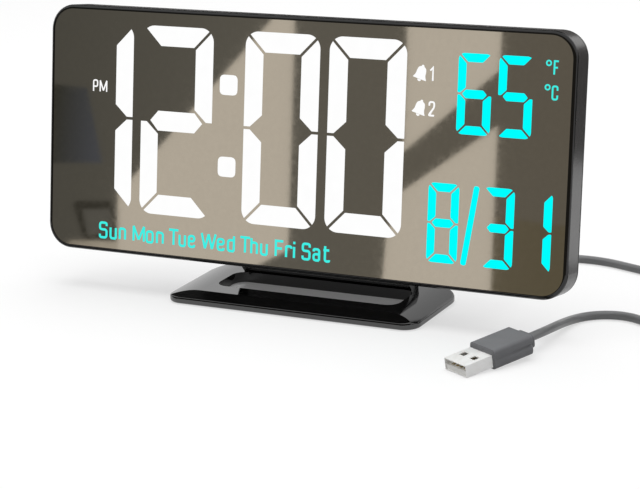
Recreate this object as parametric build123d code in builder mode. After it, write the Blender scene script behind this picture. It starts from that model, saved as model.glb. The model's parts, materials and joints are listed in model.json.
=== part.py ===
from build123d import *
import os
from math import asin, cos, dist, pi, radians, sin, tan

# Digital alarm clock with a mirror front, leaning back on a low hinged stand, on a USB lead.
# Millimetres. X is to the right seen from the front, Y to the back, Z up.
# The origin is on the table, under the stand.

# Head, seen from the front
HEAD_WIDTH = 220.0
HEAD_HEIGHT = 96.5
HEAD_CORNER = 10.0
LEAN = 9.0
FACE_LIFT = 15.8
FACE_SETBACK = 6.5

# Head, layer by layer from the front
RIM = 1.5
FRONT_ROUND = 1.3
PANEL_INSET = 0.2
PANEL_THICK = 1.5
PANEL_PLAY = 0.05
TAPE_THICK = 0.2
LEDGE_WIDTH = 4.0
LEDGE_THICK = 1.0
SHEET_PLAY = 0.3
DIFFUSER_THICK = 0.3
REFLECTOR_THICK = 5.0
BOARD_THICK = 1.2
BOARD_ROOM = 1.6
COVER_THICK = 1.8
WALL = 2.0
INNER_PLAY = 0.4
SEAM_CHAMFER = 0.3
COVER_ROUND = 1.0

# Hump on the back of the cover
HUMP_WIDTH = 160.0
HUMP_HEIGHT = 56.0
HUMP_LOW = 14.0
HUMP_DEPTH = 12.5
HUMP_CORNER = 12.0
HUMP_TAPER = 10.0
HUMP_WALL = 1.8
HUMP_FOOT = 1.0
HUMP_ROUND = 1.2
SLOT_COUNT = 5
SLOT_PITCH = 4.0
SLOT_LENGTH = 12.0
SLOT_WIDTH = 1.6

# Screws that hold the cover and the boards
SCREW_INSET = 6.0
BOSS_RADIUS = 3.2
SCREW_RADIUS = 0.95
SCREW_PLAY = 0.05
SCREW_HEAD_RADIUS = 2.3
SCREW_HEAD = 1.2
SCREW_SUNK = 0.2
SCREW_CROSS = 0.5
SCREW_GRIP = 5.5
BOARD_SCREW_GRIP = 3.5
BOARD_SCREW_INSET = 7.5
BOARD_SCREW_APART = 50.0
PAD_RADIUS = 2.5
PAD_APART = 28.0

# Blocks on the back of the main board: across, up, width, height, thickness
CONTROLLER = (-14.0, 44.0, 12.0, 12.0, 1.4)
CLOCK_CRYSTAL = (4.0, 46.0, 8.0, 3.0, 2.6)
TEMPERATURE_SENSOR = (-72.0, 22.0, 3.2, 1.6, 0.9)

# The display driver sits behind the last big digit: up, width, height, thickness
DISPLAY_DRIVER = (44.0, 10.0, 6.4, 1.4)

# Round cans on the back of the main board: across, up, radius, height
BUZZER = (0.0, 27.0, 6.0, 6.5)
SUPPLY_CAPACITOR = (38.0, 30.0, 3.2, 8.0)

# Display: margins and gaps between the digits, and the sizes of the small digits
DISPLAY_MARGIN = 6.5
BIG_BELOW = 17.0
BIG_ABOVE = 6.4
BIG_STROKE = 7.7
DIGIT_GAP = 3.9
COLON_GAP = 3.1
COLON_SIZE = 7.7
COLON_APART = 31.3
BLOCK_GAP = 10.8
SMALL_WIDTH = 12.2
SMALL_HEIGHT = 29.2
SMALL_STROKE = 3.1
WARM_ABOVE = 9.9
WARM_INSET = 10.1
WARM_GAP = 3.6
DATE_BELOW = 9.8
DATE_GAP = 2.3
SLASH_GAP = 9.4
SLASH_LEAN = 4.4
SLASH_WIDTH = 2.3
LED_SIZE = (1.6, 0.8, 0.6)

# Snooze bar in the top edge
SNOOZE_LENGTH = 66.0
SNOOZE_WIDTH = 5.2
SNOOZE_CENTRE = 6.5
SNOOZE_TRAVEL = 0.8
SNOOZE_FLANGE = 1.0
SNOOZE_LIP = 0.9
SNOOZE_CORNER = 2.4
SNOOZE_SWITCH = (4.7, 3.5, 1.6)

# Keys on the hump
KEY_NAMES = ("alarm_key", "set_key", "mode_key", "up_key", "down_key")
KEY_PITCH = 13.0
KEY_DROP = 14.0
KEY_LENGTH = 9.0
KEY_HEIGHT = 5.6
KEY_PROUD = 1.1
KEY_TRAVEL = 0.6
KEY_FLANGE = 0.8
KEY_LIP = 0.8
KEY_END_FLAT = 0.1
PUSH_PLAY = 0.15
SWITCH_SIDE = 6.0
SWITCH_HEIGHT = 2.9
KEY_BOARD_HEIGHT = 12.0
KEY_BOARD_OVER = 12.0
KEY_POST_INSET = 4.0

# Battery and its twist cap
CELL_INSET = 28.0
CELL_RISE = 22.0
CELL_RADIUS = 10.0
CELL_THICK = 3.2
CELL_ROOM = 1.0
CELL_CHAMFER = 0.3
HOLDER_WALL = 1.6
HOLDER_FLOOR = 1.2
CAP_RADIUS = 12.8
CAP_THICK = 1.0
CAP_PLAY = 0.25
CAP_SLOT = (13.0, 1.6, 0.6)

# Power socket and the plug in it
JACK_INSET = 25.0
JACK_RISE = 10.0
JACK_SIDE = 9.0
JACK_SPARE = 1.0
BARREL_RADIUS = 1.75
BARREL_BORE = 0.7
BARREL_REACH = 9.0
BARREL_PLAY = 0.08
JACK_PIN = 0.55
JACK_WINDOW = 2.5
PLUG_RADIUS = 4.2
PLUG_LENGTH = 16.0
PLUG_ROUND = 0.7
RELIEF_LENGTH = 8.0
RELIEF_RADII = (3.0, 2.1)

# Stand and its hinge
BASE_WIDTH = 106.6
BASE_DEPTH = 44.4
BASE_FORWARD = 1.2
BASE_TOP = 4.4
BASE_FRONT_CORNER = 6.4
BASE_BACK_CORNER = 9.0
BASE_ROUND = 0.8
CROWN_WIDTH = 12.0
CROWN_DROP = 1.8
SLOPE_DEPTH = 6.6
SLOPE_DROP = 1.7
WINDOW_WIDTH = 78.0
WINDOW_DEPTH = 19.4
WINDOW_CENTRE = 0.9
WINDOW_CORNER = 5.0
NECK_WIDTH = 73.0
NECK_FRONT = 11.4
NECK_BACK = 18.2
NECK_LEAN = 7.5
NECK_TOP = 13.4
KNUCKLE_WIDTH = 46.0
KNUCKLE_RADIUS = 4.0
KNUCKLE_SINK = 1.0
HINGE_Y = 14.5
HINGE_Z = 19.0
HINGE_GAP = 0.15
WASHER_THICK = 0.8
WASHER_RADIUS = 3.6
LUG_WIDTH = 6.5
LUG_RADIUS = 4.2
LUG_ROOT_LOW = 6.0
LUG_ROOT_HIGH = 16.0
LUG_ROOT_DEEP = 6.0
LUG_SINK = 1.0
LUG_AIM = (9.0, 3.0)
PIN_RADIUS = 1.5
PIN_PLAY = 0.05
FOOT_RADIUS = 4.0
FOOT_THICK = 0.9
FOOT_PROUD = 0.25
FOOT_INSET = (9.0, 7.0)

# Lead
CORD_RADIUS = 1.65
COIL_CENTRE = (150.0, 30.0)
COIL_RADIUS = 16.5
COIL_BUNDLE = 4.6
TIE_THICK = 0.6
TIE_UNDER = 0.2
TIE_LENGTH = 4.0
TIE_ANGLE = 135.0

# USB plug on the table
USB_CENTRE = (94.7, -40.6)
USB_HEADING = -118.4
USB_NOSE_DOWN = 6.0
USB_FRONT = 8.4
USB_AXIS = 3.4
USB_BODY = (18.2, 13.6, 7.5)
USB_ROUND = 1.5
USB_NECK = (2.8, 8.6, 5.2)
USB_SHELL = (11.75, 12.0, 4.5)
USB_SHELL_WALL = 0.3
USB_SHELL_HELD = 6.0
USB_HOLE = 2.6
USB_HOLE_BACK = 6.5
USB_HOLE_APART = 5.8
USB_TONGUE = 1.9
USB_TONGUE_SHORT = 0.4
USB_CONTACT = (8.0, 1.1, 0.15)
USB_CONTACT_PITCH = 2.2
USB_CONTACT_INSET = 1.0

# Depths that follow from the layers
panel_back = PANEL_INSET + PANEL_THICK
ledge_front = panel_back + TAPE_THICK
ledge_back = ledge_front + LEDGE_THICK
diffuser_front = ledge_back - DIFFUSER_THICK
reflector_back = ledge_back + REFLECTOR_THICK
board_back = reflector_back + BOARD_THICK
cover_front = board_back + BOARD_ROOM
cover_back = cover_front + COVER_THICK
hump_back = cover_back + HUMP_DEPTH
hump_inside = hump_back - HUMP_WALL

# The leaning front face: X across, Y up the face, depths counted inwards
base_front = -BASE_DEPTH / 2 - BASE_FORWARD
face_y = base_front + FACE_SETBACK
lean_sin = sin(radians(LEAN))
lean_cos = cos(radians(LEAN))
face_plane = Plane(origin=(0, face_y, FACE_LIFT), x_dir=(1, 0, 0), z_dir=(0, -lean_cos, lean_sin))
top_plane = Plane(
    origin=(0, face_y + HEAD_HEIGHT * lean_sin, FACE_LIFT + HEAD_HEIGHT * lean_cos),
    x_dir=(1, 0, 0),
    z_dir=(0, lean_sin, lean_cos),
)
side_plane = Plane(origin=(0, face_y, FACE_LIFT), x_dir=(0, lean_sin, lean_cos), z_dir=(-1, 0, 0))
middle = HEAD_HEIGHT / 2
hump_middle = HUMP_LOW + HUMP_HEIGHT / 2

# Places on the hump: the row of keys, the cell and the power socket
key_row = HUMP_LOW + HUMP_HEIGHT - KEY_DROP
cell_at = (CELL_INSET - HUMP_WIDTH / 2, HUMP_LOW + CELL_RISE)
jack_at = (HUMP_WIDTH / 2 - JACK_INSET, HUMP_LOW + JACK_RISE)

# The display from left to right: hours, colon and minutes in big digits, then the date in small ones
display_right = HEAD_WIDTH / 2 - DISPLAY_MARGIN
date_width = 3 * SMALL_WIDTH + SLASH_GAP + DATE_GAP
big_gaps = 2 * DIGIT_GAP + 2 * COLON_GAP + COLON_SIZE + BLOCK_GAP
big_width = (2 * display_right - date_width - big_gaps) / 4
big_height = HEAD_HEIGHT - BIG_BELOW - BIG_ABOVE
big_middle = BIG_BELOW + big_height / 2
ten_hours_left = -display_right
hours_left = ten_hours_left + big_width + DIGIT_GAP
colon_left = hours_left + big_width + COLON_GAP
ten_minutes_left = colon_left + COLON_SIZE + COLON_GAP
minutes_left = ten_minutes_left + big_width + DIGIT_GAP
month_left = display_right - date_width
ten_days_left = month_left + SMALL_WIDTH + SLASH_GAP
days_left = ten_days_left + SMALL_WIDTH + DATE_GAP
warm_left = display_right - WARM_INSET - SMALL_WIDTH
ten_warm_left = warm_left - WARM_GAP - SMALL_WIDTH
warm_low = HEAD_HEIGHT - WARM_ABOVE - SMALL_HEIGHT
date_top = DATE_BELOW + SMALL_HEIGHT
snooze_switch_x = minutes_left - DIGIT_GAP / 2


def at_depth(depth):
    """Plane of the front face, moved into the head."""
    return face_plane.offset(-depth)


def in_head(across, up, depth):
    """A point of the head in the part's frame."""
    y = face_y + up * lean_sin + depth * lean_cos
    z = FACE_LIFT + up * lean_cos - depth * lean_sin
    return (across, y, z)


# The hinge seen from the head: height up the face and depth
hinge_up = (HINGE_Y - face_y) * lean_sin + (HINGE_Z - FACE_LIFT) * lean_cos
hinge_depth = (HINGE_Y - face_y) * lean_cos - (HINGE_Z - FACE_LIFT) * lean_sin

corner_points = [
    (side * (HEAD_WIDTH / 2 - SCREW_INSET), up)
    for side in (-1, 1)
    for up in (SCREW_INSET, HEAD_HEIGHT - SCREW_INSET)
]
pad_points = [
    (side * (HUMP_WIDTH + HEAD_WIDTH) / 4, up)
    for side in (-1, 1)
    for up in (middle - PAD_APART / 2, middle + PAD_APART / 2)
]

# Screws of the main board, in the dark places between the digits
block_gap_x = month_left - BLOCK_GAP / 2
board_screw_points = [
    (ten_hours_left + BOARD_SCREW_INSET, middle - BOARD_SCREW_APART / 2),
    (ten_hours_left + BOARD_SCREW_INSET, middle + BOARD_SCREW_APART / 2),
    (colon_left + COLON_SIZE / 2, big_middle),
    (block_gap_x, middle),
    (block_gap_x, DATE_BELOW + SMALL_STROKE),
    (display_right - SMALL_WIDTH / 2, (date_top + warm_low) / 2),
]


def digit(left, low, width, height, stroke):
    """Outlines of the seven segments of one digit, by letter."""
    right = left + width
    top = low + height
    half = low + height / 2
    cut = stroke * 0.46
    split = stroke * 0.08
    flat = stroke * 0.32
    flip_x = left + right
    flip_y = low + top
    bar_half = [
        (right - cut, top),
        (right - cut / 2 - split, top - cut / 2),
        (right - stroke - split, top - stroke),
    ]
    bar = bar_half + [(flip_x - x, y) for x, y in reversed(bar_half)]
    post = [
        (right - cut / 2, top - cut / 2 - split),
        (right, top - cut - split),
        (right, half + split),
        (right - flat, half + split),
        (right - stroke, half + split + stroke - flat),
        (right - stroke, top - stroke - split),
    ]
    cross_half = [
        (right - stroke, half + stroke / 2),
        (right - stroke / 2, half),
        (right - stroke, half - stroke / 2),
    ]
    return {
        "a": bar,
        "b": post,
        "c": [(x, flip_y - y) for x, y in post],
        "d": [(x, flip_y - y) for x, y in bar],
        "e": [(flip_x - x, flip_y - y) for x, y in post],
        "f": [(flip_x - x, y) for x, y in post],
        "g": cross_half + [(flip_x - x, y) for x, y in reversed(cross_half)],
    }


def display_outlines():
    """Every segment of the display, lit or not."""
    outlines = []
    first = digit(ten_hours_left, BIG_BELOW, big_width, big_height, BIG_STROKE)
    outlines += [first["b"], first["c"]]
    for left in (hours_left, ten_minutes_left, minutes_left):
        outlines += digit(left, BIG_BELOW, big_width, big_height, BIG_STROKE).values()
    for side in (-1, 1):
        low = big_middle + side * COLON_APART / 2 - COLON_SIZE / 2
        top = low + COLON_SIZE
        colon_right = colon_left + COLON_SIZE
        outlines.append([(colon_left, low), (colon_right, low), (colon_right, top), (colon_left, top)])
    for left in (ten_warm_left, warm_left):
        outlines += digit(left, warm_low, SMALL_WIDTH, SMALL_HEIGHT, SMALL_STROKE).values()
    for left in (month_left, ten_days_left, days_left):
        outlines += digit(left, DATE_BELOW, SMALL_WIDTH, SMALL_HEIGHT, SMALL_STROKE).values()
    half = SLASH_WIDTH / 2
    foot = ten_days_left - SLASH_GAP / 2 - SLASH_LEAN / 2
    head = foot + SLASH_LEAN
    slash_low = [(foot - half, DATE_BELOW), (foot + half, DATE_BELOW)]
    slash_high = [(head + half, date_top), (head - half, date_top)]
    outlines.append(slash_low + slash_high)
    return outlines


segments = display_outlines()


def centre_of(outline):
    """Middle of an outline's box."""
    xs = [x for x, y in outline]
    ys = [y for x, y in outline]
    return ((min(xs) + max(xs)) / 2, (min(ys) + max(ys)) / 2)


# Front frame: the rim around the mirror, the ledge under it, the side walls and four screw bosses
with BuildPart() as front_frame:
    with BuildSketch(face_plane):
        with Locations((0, middle)):
            RectangleRounded(HEAD_WIDTH, HEAD_HEIGHT, HEAD_CORNER)
    extrude(amount=-cover_front)
    front_face = front_frame.faces().sort_by(Axis((0, 0, 0), face_plane.z_dir))[-1]
    fillet(front_face.edges(), FRONT_ROUND)
    with BuildSketch(face_plane):
        with Locations((0, middle)):
            RectangleRounded(HEAD_WIDTH - 2 * RIM, HEAD_HEIGHT - 2 * RIM, HEAD_CORNER - RIM)
    extrude(amount=-ledge_front, mode=Mode.SUBTRACT)
    with BuildSketch(at_depth(ledge_front)):
        with Locations((0, middle)):
            RectangleRounded(
                HEAD_WIDTH - 2 * LEDGE_WIDTH, HEAD_HEIGHT - 2 * LEDGE_WIDTH, HEAD_CORNER - LEDGE_WIDTH
            )
    extrude(amount=-LEDGE_THICK, mode=Mode.SUBTRACT)
    with BuildSketch(at_depth(ledge_back)):
        with Locations((0, middle)):
            RectangleRounded(HEAD_WIDTH - 2 * WALL, HEAD_HEIGHT - 2 * WALL, HEAD_CORNER - WALL)
    extrude(amount=-(cover_front - ledge_back), mode=Mode.SUBTRACT)
    with BuildSketch(at_depth(ledge_back)):
        with Locations(*corner_points):
            Circle(BOSS_RADIUS)
    extrude(amount=-(cover_front - ledge_back))
    with BuildSketch(at_depth(cover_front)):
        with Locations(*corner_points):
            Circle(SCREW_RADIUS + SCREW_PLAY)
    extrude(amount=SCREW_GRIP + SCREW_PLAY, mode=Mode.SUBTRACT)
    with BuildSketch(top_plane):
        with Locations((0, SNOOZE_CENTRE)):
            RectangleRounded(
                SNOOZE_LENGTH + 2 * PUSH_PLAY, SNOOZE_WIDTH + 2 * PUSH_PLAY, SNOOZE_CORNER + PUSH_PLAY
            )
    extrude(amount=-(WALL + SNOOZE_FLANGE), mode=Mode.SUBTRACT)

# Mirror panel on its ring of tape
with BuildPart() as mirror_panel:
    with BuildSketch(at_depth(PANEL_INSET)):
        with Locations((0, middle)):
            RectangleRounded(
                HEAD_WIDTH - 2 * (RIM + PANEL_PLAY),
                HEAD_HEIGHT - 2 * (RIM + PANEL_PLAY),
                HEAD_CORNER - RIM - PANEL_PLAY,
            )
    extrude(amount=-PANEL_THICK)

with BuildPart() as panel_tape:
    with BuildSketch(at_depth(panel_back)):
        with Locations((0, middle)):
            RectangleRounded(
                HEAD_WIDTH - 2 * (RIM + SHEET_PLAY),
                HEAD_HEIGHT - 2 * (RIM + SHEET_PLAY),
                HEAD_CORNER - RIM - SHEET_PLAY,
            )
            RectangleRounded(
                HEAD_WIDTH - 2 * LEDGE_WIDTH,
                HEAD_HEIGHT - 2 * LEDGE_WIDTH,
                HEAD_CORNER - LEDGE_WIDTH,
                mode=Mode.SUBTRACT,
            )
    extrude(amount=-TAPE_THICK)

# Display: black mask with a window for each segment, milky sheet, reflector with a well for each segment
sheet_width = HEAD_WIDTH - 2 * (LEDGE_WIDTH + SHEET_PLAY)
sheet_height = HEAD_HEIGHT - 2 * (LEDGE_WIDTH + SHEET_PLAY)
sheet_corner = HEAD_CORNER - LEDGE_WIDTH - SHEET_PLAY

with BuildPart() as display_mask:
    with BuildSketch(at_depth(panel_back)):
        with Locations((0, middle)):
            RectangleRounded(sheet_width, sheet_height, sheet_corner)
        for outline in segments:
            Polygon(*outline, align=None, mode=Mode.SUBTRACT)
    extrude(amount=-(diffuser_front - panel_back))

with BuildPart() as diffuser_sheet:
    with BuildSketch(at_depth(diffuser_front)):
        with Locations((0, middle)):
            RectangleRounded(sheet_width, sheet_height, sheet_corner)
    extrude(amount=-DIFFUSER_THICK)

inner_width = HEAD_WIDTH - 2 * (WALL + INNER_PLAY)
inner_height = HEAD_HEIGHT - 2 * (WALL + INNER_PLAY)
snooze_low = HEAD_HEIGHT - WALL - SNOOZE_FLANGE - SNOOZE_TRAVEL - INNER_PLAY
switch_low = snooze_low - SNOOZE_SWITCH[2]
bar_room = SNOOZE_LENGTH + 2 * (SNOOZE_LIP + INNER_PLAY)

with BuildPart() as reflector_block:
    with BuildSketch(at_depth(ledge_back)):
        with Locations((0, middle)):
            RectangleRounded(inner_width, inner_height, HEAD_CORNER - WALL - INNER_PLAY)
        with Locations(*corner_points):
            Circle(BOSS_RADIUS + INNER_PLAY, mode=Mode.SUBTRACT)
        for side in (-1, 1):
            for up in (0, HEAD_HEIGHT):
                with Locations((side * HEAD_WIDTH / 2, up)):
                    Rectangle(2 * SCREW_INSET, 2 * SCREW_INSET, mode=Mode.SUBTRACT)
        with Locations((0, HEAD_HEIGHT)):
            Rectangle(bar_room, 2 * (HEAD_HEIGHT - snooze_low), mode=Mode.SUBTRACT)
        with Locations((snooze_switch_x, HEAD_HEIGHT)):
            Rectangle(
                SNOOZE_SWITCH[0] + 2 * INNER_PLAY,
                2 * (HEAD_HEIGHT - switch_low + PUSH_PLAY),
                mode=Mode.SUBTRACT,
            )
        for outline in segments:
            Polygon(*outline, align=None, mode=Mode.SUBTRACT)
    extrude(amount=-REFLECTOR_THICK)
    with BuildSketch(at_depth(reflector_back)):
        with Locations(*board_screw_points):
            Circle(SCREW_RADIUS + SCREW_PLAY)
    extrude(amount=BOARD_SCREW_GRIP - BOARD_THICK + SCREW_PLAY, mode=Mode.SUBTRACT)

# Main board with what is soldered to it
with BuildPart() as main_board:
    with BuildSketch(at_depth(reflector_back)):
        with Locations((0, middle)):
            Rectangle(inner_width - 2 * INNER_PLAY, inner_height - 2 * INNER_PLAY)
        for side in (-1, 1):
            for up in (0, HEAD_HEIGHT):
                with Locations((side * HEAD_WIDTH / 2, up)):
                    Rectangle(
                        2 * (SCREW_INSET + BOSS_RADIUS + INNER_PLAY),
                        2 * (SCREW_INSET + BOSS_RADIUS + INNER_PLAY),
                        mode=Mode.SUBTRACT,
                    )
        with Locations((0, HEAD_HEIGHT)):
            Rectangle(bar_room, 2 * (HEAD_HEIGHT - snooze_low), mode=Mode.SUBTRACT)
        with Locations(*board_screw_points):
            Circle(SCREW_RADIUS + SCREW_PLAY, mode=Mode.SUBTRACT)
    extrude(amount=-BOARD_THICK)

with BuildPart() as led_chips:
    with BuildSketch(at_depth(reflector_back)):
        for outline in segments:
            with Locations(centre_of(outline)):
                Rectangle(LED_SIZE[0], LED_SIZE[1])
    extrude(amount=LED_SIZE[2])

with BuildPart() as board_screws:
    with BuildSketch(at_depth(board_back)):
        with Locations(*board_screw_points):
            Circle(SCREW_HEAD_RADIUS)
    extrude(amount=-SCREW_HEAD)
    with BuildSketch(at_depth(board_back)):
        with Locations(*board_screw_points):
            Circle(SCREW_RADIUS)
    extrude(amount=BOARD_SCREW_GRIP)

with BuildPart() as snooze_switch:
    with BuildSketch(at_depth(reflector_back)):
        with Locations((snooze_switch_x, snooze_low - SNOOZE_SWITCH[2] / 2)):
            Rectangle(SNOOZE_SWITCH[0], SNOOZE_SWITCH[2])
    extrude(amount=SNOOZE_SWITCH[1])


def on_board(across, up, width, height, thick):
    """A block soldered to the back of the main board."""
    with BuildPart() as block:
        with BuildSketch(at_depth(board_back)):
            with Locations((across, up)):
                RectangleRounded(width, height, min(width, height) * 0.06)
        extrude(amount=-thick)
    return block


def can_on_board(across, up, radius, tall):
    """A round can soldered to the back of the main board."""
    with BuildPart() as can:
        with BuildSketch(at_depth(board_back)):
            with Locations((across, up)):
                Circle(radius)
        extrude(amount=-tall)
        chamfer(can.faces().sort_by(Axis((0, 0, 0), face_plane.z_dir))[0].edges(), radius * 0.08)
    return can


controller = on_board(*CONTROLLER)
display_driver = on_board(minutes_left + big_width / 2, *DISPLAY_DRIVER)
clock_crystal = on_board(*CLOCK_CRYSTAL)
temperature_sensor = on_board(*TEMPERATURE_SENSOR)
buzzer = can_on_board(*BUZZER)
supply_capacitor = can_on_board(*SUPPLY_CAPACITOR)

# Power socket: a block on the board whose bore opens through the hump
with BuildPart() as power_socket:
    with BuildSketch(at_depth(board_back)):
        with Locations(jack_at):
            RectangleRounded(JACK_SIDE, JACK_SIDE, JACK_SIDE * 0.1)
    extrude(amount=-(hump_inside - board_back))
    with BuildSketch(at_depth(hump_inside)):
        with Locations(jack_at):
            Circle(BARREL_RADIUS + BARREL_PLAY)
            Circle(JACK_PIN, mode=Mode.SUBTRACT)
    extrude(amount=BARREL_REACH + JACK_SPARE, mode=Mode.SUBTRACT)

# Rear cover: plate, hump, hinge lugs, screw holes, openings and sound slots
knuckle_half = KNUCKLE_WIDTH / 2
lug_inner = knuckle_half + HINGE_GAP + WASHER_THICK
key_xs = [KEY_PITCH * (index - (len(KEY_NAMES) - 1) / 2) for index in range(len(KEY_NAMES))]
key_points = [(x, key_row) for x in key_xs]
post_x = key_xs[-1] + KEY_BOARD_OVER - KEY_POST_INSET
post_points = [(-post_x, key_row), (post_x, key_row)]
switch_top = hump_inside - KEY_FLANGE - KEY_TRAVEL - PUSH_PLAY
key_board_back = switch_top - SWITCH_HEIGHT
slot_points = [(SLOT_PITCH * (index - (SLOT_COUNT - 1) / 2), BUZZER[1]) for index in range(SLOT_COUNT)]

with BuildPart() as rear_cover:
    with BuildSketch(at_depth(cover_front)):
        with Locations((0, middle)):
            RectangleRounded(HEAD_WIDTH, HEAD_HEIGHT, HEAD_CORNER)
    extrude(amount=-COVER_THICK)
    outer_faces = rear_cover.faces().sort_by(Axis((0, 0, 0), face_plane.z_dir))
    chamfer(outer_faces[-1].edges(), SEAM_CHAMFER)
    fillet(outer_faces[0].edges(), COVER_ROUND)
    with BuildSketch(at_depth(cover_back)):
        with Locations((0, hump_middle)):
            RectangleRounded(HUMP_WIDTH, HUMP_HEIGHT, HUMP_CORNER)
    extrude(amount=-HUMP_DEPTH, taper=HUMP_TAPER)
    fillet(rear_cover.faces().sort_by(Axis((0, 0, 0), face_plane.z_dir))[0].edges(), HUMP_ROUND)
    for near in (-lug_inner - LUG_WIDTH, lug_inner):
        # Lug: an arm from the hump down to an eye around the hinge pin
        reach_up = HUMP_LOW + LUG_AIM[0] - hinge_up
        reach_depth = hump_back - LUG_AIM[1] - hinge_depth
        reach = (reach_up**2 + reach_depth**2) ** 0.5
        step_up = -reach_depth / reach * LUG_RADIUS
        step_depth = reach_up / reach * LUG_RADIUS
        with BuildSketch(side_plane.offset(-near)):
            Polygon(
                (HUMP_LOW + LUG_ROOT_LOW, cover_back + LUG_ROOT_DEEP),
                (HUMP_LOW + LUG_ROOT_HIGH, hump_back - LUG_SINK),
                (hinge_up + step_up, hinge_depth + step_depth),
                (hinge_up - step_up, hinge_depth - step_depth),
                align=None,
            )
            with Locations((hinge_up, hinge_depth)):
                Circle(LUG_RADIUS)
        extrude(amount=-LUG_WIDTH)
    with BuildSketch(at_depth(cover_front)):
        with Locations((0, hump_middle)):
            RectangleRounded(
                HUMP_WIDTH - 2 * (HUMP_WALL + HUMP_FOOT),
                HUMP_HEIGHT - 2 * (HUMP_WALL + HUMP_FOOT),
                HUMP_CORNER - HUMP_WALL - HUMP_FOOT,
            )
    extrude(amount=-(hump_inside - cover_front), taper=HUMP_TAPER, mode=Mode.SUBTRACT)
    with BuildSketch(side_plane):
        with Locations((hinge_up, hinge_depth)):
            Circle(PIN_RADIUS + PIN_PLAY)
    extrude(amount=HEAD_WIDTH / 2, both=True, mode=Mode.SUBTRACT)
    with BuildSketch(at_depth(board_back)):
        with Locations(*pad_points):
            Circle(PAD_RADIUS)
    extrude(amount=-(BOARD_ROOM + COVER_THICK / 2))
    with BuildSketch(at_depth(hump_inside)):
        with Locations(*post_points):
            Circle(PAD_RADIUS)
    extrude(amount=hump_inside - key_board_back)
    with BuildSketch(at_depth(key_board_back)):
        with Locations(*post_points):
            Circle(SCREW_RADIUS + SCREW_PLAY)
    extrude(amount=-(BOARD_SCREW_GRIP - BOARD_THICK + SCREW_PLAY), mode=Mode.SUBTRACT)
    with BuildSketch(at_depth(cover_front)):
        with Locations(*corner_points):
            Circle(SCREW_RADIUS + SCREW_PLAY)
    extrude(amount=-COVER_THICK, mode=Mode.SUBTRACT)
    with BuildSketch(at_depth(cover_back)):
        with Locations(*corner_points):
            Circle(SCREW_HEAD_RADIUS + SCREW_PLAY)
    extrude(amount=SCREW_HEAD, mode=Mode.SUBTRACT)
    with BuildSketch(at_depth(hump_back)):
        with Locations(*key_points):
            RectangleRounded(
                KEY_LENGTH + 2 * PUSH_PLAY,
                KEY_HEIGHT + 2 * PUSH_PLAY,
                KEY_HEIGHT / 2 + PUSH_PLAY - KEY_END_FLAT,
            )
        with Locations(jack_at):
            Circle(JACK_WINDOW)
        with Locations(cell_at):
            Circle(CELL_RADIUS + CAP_PLAY + HOLDER_WALL / 4)
        with Locations(*slot_points):
            SlotOverall(SLOT_LENGTH, SLOT_WIDTH, rotation=90)
    extrude(amount=HUMP_WALL, mode=Mode.SUBTRACT)
    with BuildSketch(at_depth(hump_back)):
        with Locations(cell_at):
            Circle(CAP_RADIUS + CAP_PLAY)
    extrude(amount=CAP_THICK, mode=Mode.SUBTRACT)

with BuildPart() as cover_screws:
    with BuildSketch(at_depth(cover_back - SCREW_HEAD)):
        with Locations(*corner_points):
            Circle(SCREW_HEAD_RADIUS)
    extrude(amount=-(SCREW_HEAD - SCREW_SUNK))
    with BuildSketch(at_depth(cover_back - SCREW_HEAD)):
        with Locations(*corner_points):
            Circle(SCREW_RADIUS)
    extrude(amount=SCREW_GRIP + COVER_THICK - SCREW_HEAD)
    with BuildSketch(at_depth(cover_back - SCREW_SUNK)):
        with Locations(*corner_points):
            Rectangle(SCREW_HEAD_RADIUS * 1.2, SCREW_CROSS)
            Rectangle(SCREW_CROSS, SCREW_HEAD_RADIUS * 1.2)
    extrude(amount=SCREW_CROSS, mode=Mode.SUBTRACT)

# Keys: five caps through the hump, each over a switch on a small board
os.makedirs("parts", exist_ok=True)
for name, (key_x, key_up) in zip(KEY_NAMES, key_points):
    with BuildPart() as key:
        with BuildSketch(at_depth(hump_back + KEY_PROUD)):
            with Locations((key_x, key_up)):
                RectangleRounded(KEY_LENGTH, KEY_HEIGHT, KEY_HEIGHT / 2 - KEY_END_FLAT)
        extrude(amount=KEY_PROUD + HUMP_WALL + PUSH_PLAY / 2 + KEY_FLANGE / 2)
        fillet(key.faces().sort_by(Axis((0, 0, 0), face_plane.z_dir))[0].edges(), KEY_PROUD * 0.4)
        with BuildSketch(at_depth(hump_inside - PUSH_PLAY / 2)):
            with Locations((key_x, key_up)):
                RectangleRounded(KEY_LENGTH + 2 * KEY_LIP, KEY_HEIGHT + 2 * KEY_LIP, KEY_HEIGHT / 2)
        extrude(amount=KEY_FLANGE)
    key.part.label = name
    export_step(key.part, "parts/" + name + ".step")

with BuildPart() as key_board:
    with BuildSketch(at_depth(key_board_back)):
        with Locations((0, key_row)):
            Rectangle(2 * (key_xs[-1] + KEY_BOARD_OVER), KEY_BOARD_HEIGHT)
        with Locations(*post_points):
            Circle(SCREW_RADIUS + SCREW_PLAY, mode=Mode.SUBTRACT)
    extrude(amount=BOARD_THICK)

with BuildPart() as key_switches:
    with BuildSketch(at_depth(key_board_back)):
        with Locations(*key_points):
            Rectangle(SWITCH_SIDE, SWITCH_SIDE)
    extrude(amount=-SWITCH_HEIGHT * 0.8)
    with BuildSketch(at_depth(key_board_back)):
        with Locations(*key_points):
            Circle(SWITCH_SIDE * 0.28)
    extrude(amount=-SWITCH_HEIGHT)

with BuildPart() as key_board_screws:
    with BuildSketch(at_depth(key_board_back - BOARD_THICK)):
        with Locations(*post_points):
            Circle(SCREW_HEAD_RADIUS)
    extrude(amount=SCREW_HEAD)
    with BuildSketch(at_depth(key_board_back - BOARD_THICK)):
        with Locations(*post_points):
            Circle(SCREW_RADIUS)
    extrude(amount=-BOARD_SCREW_GRIP)

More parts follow.
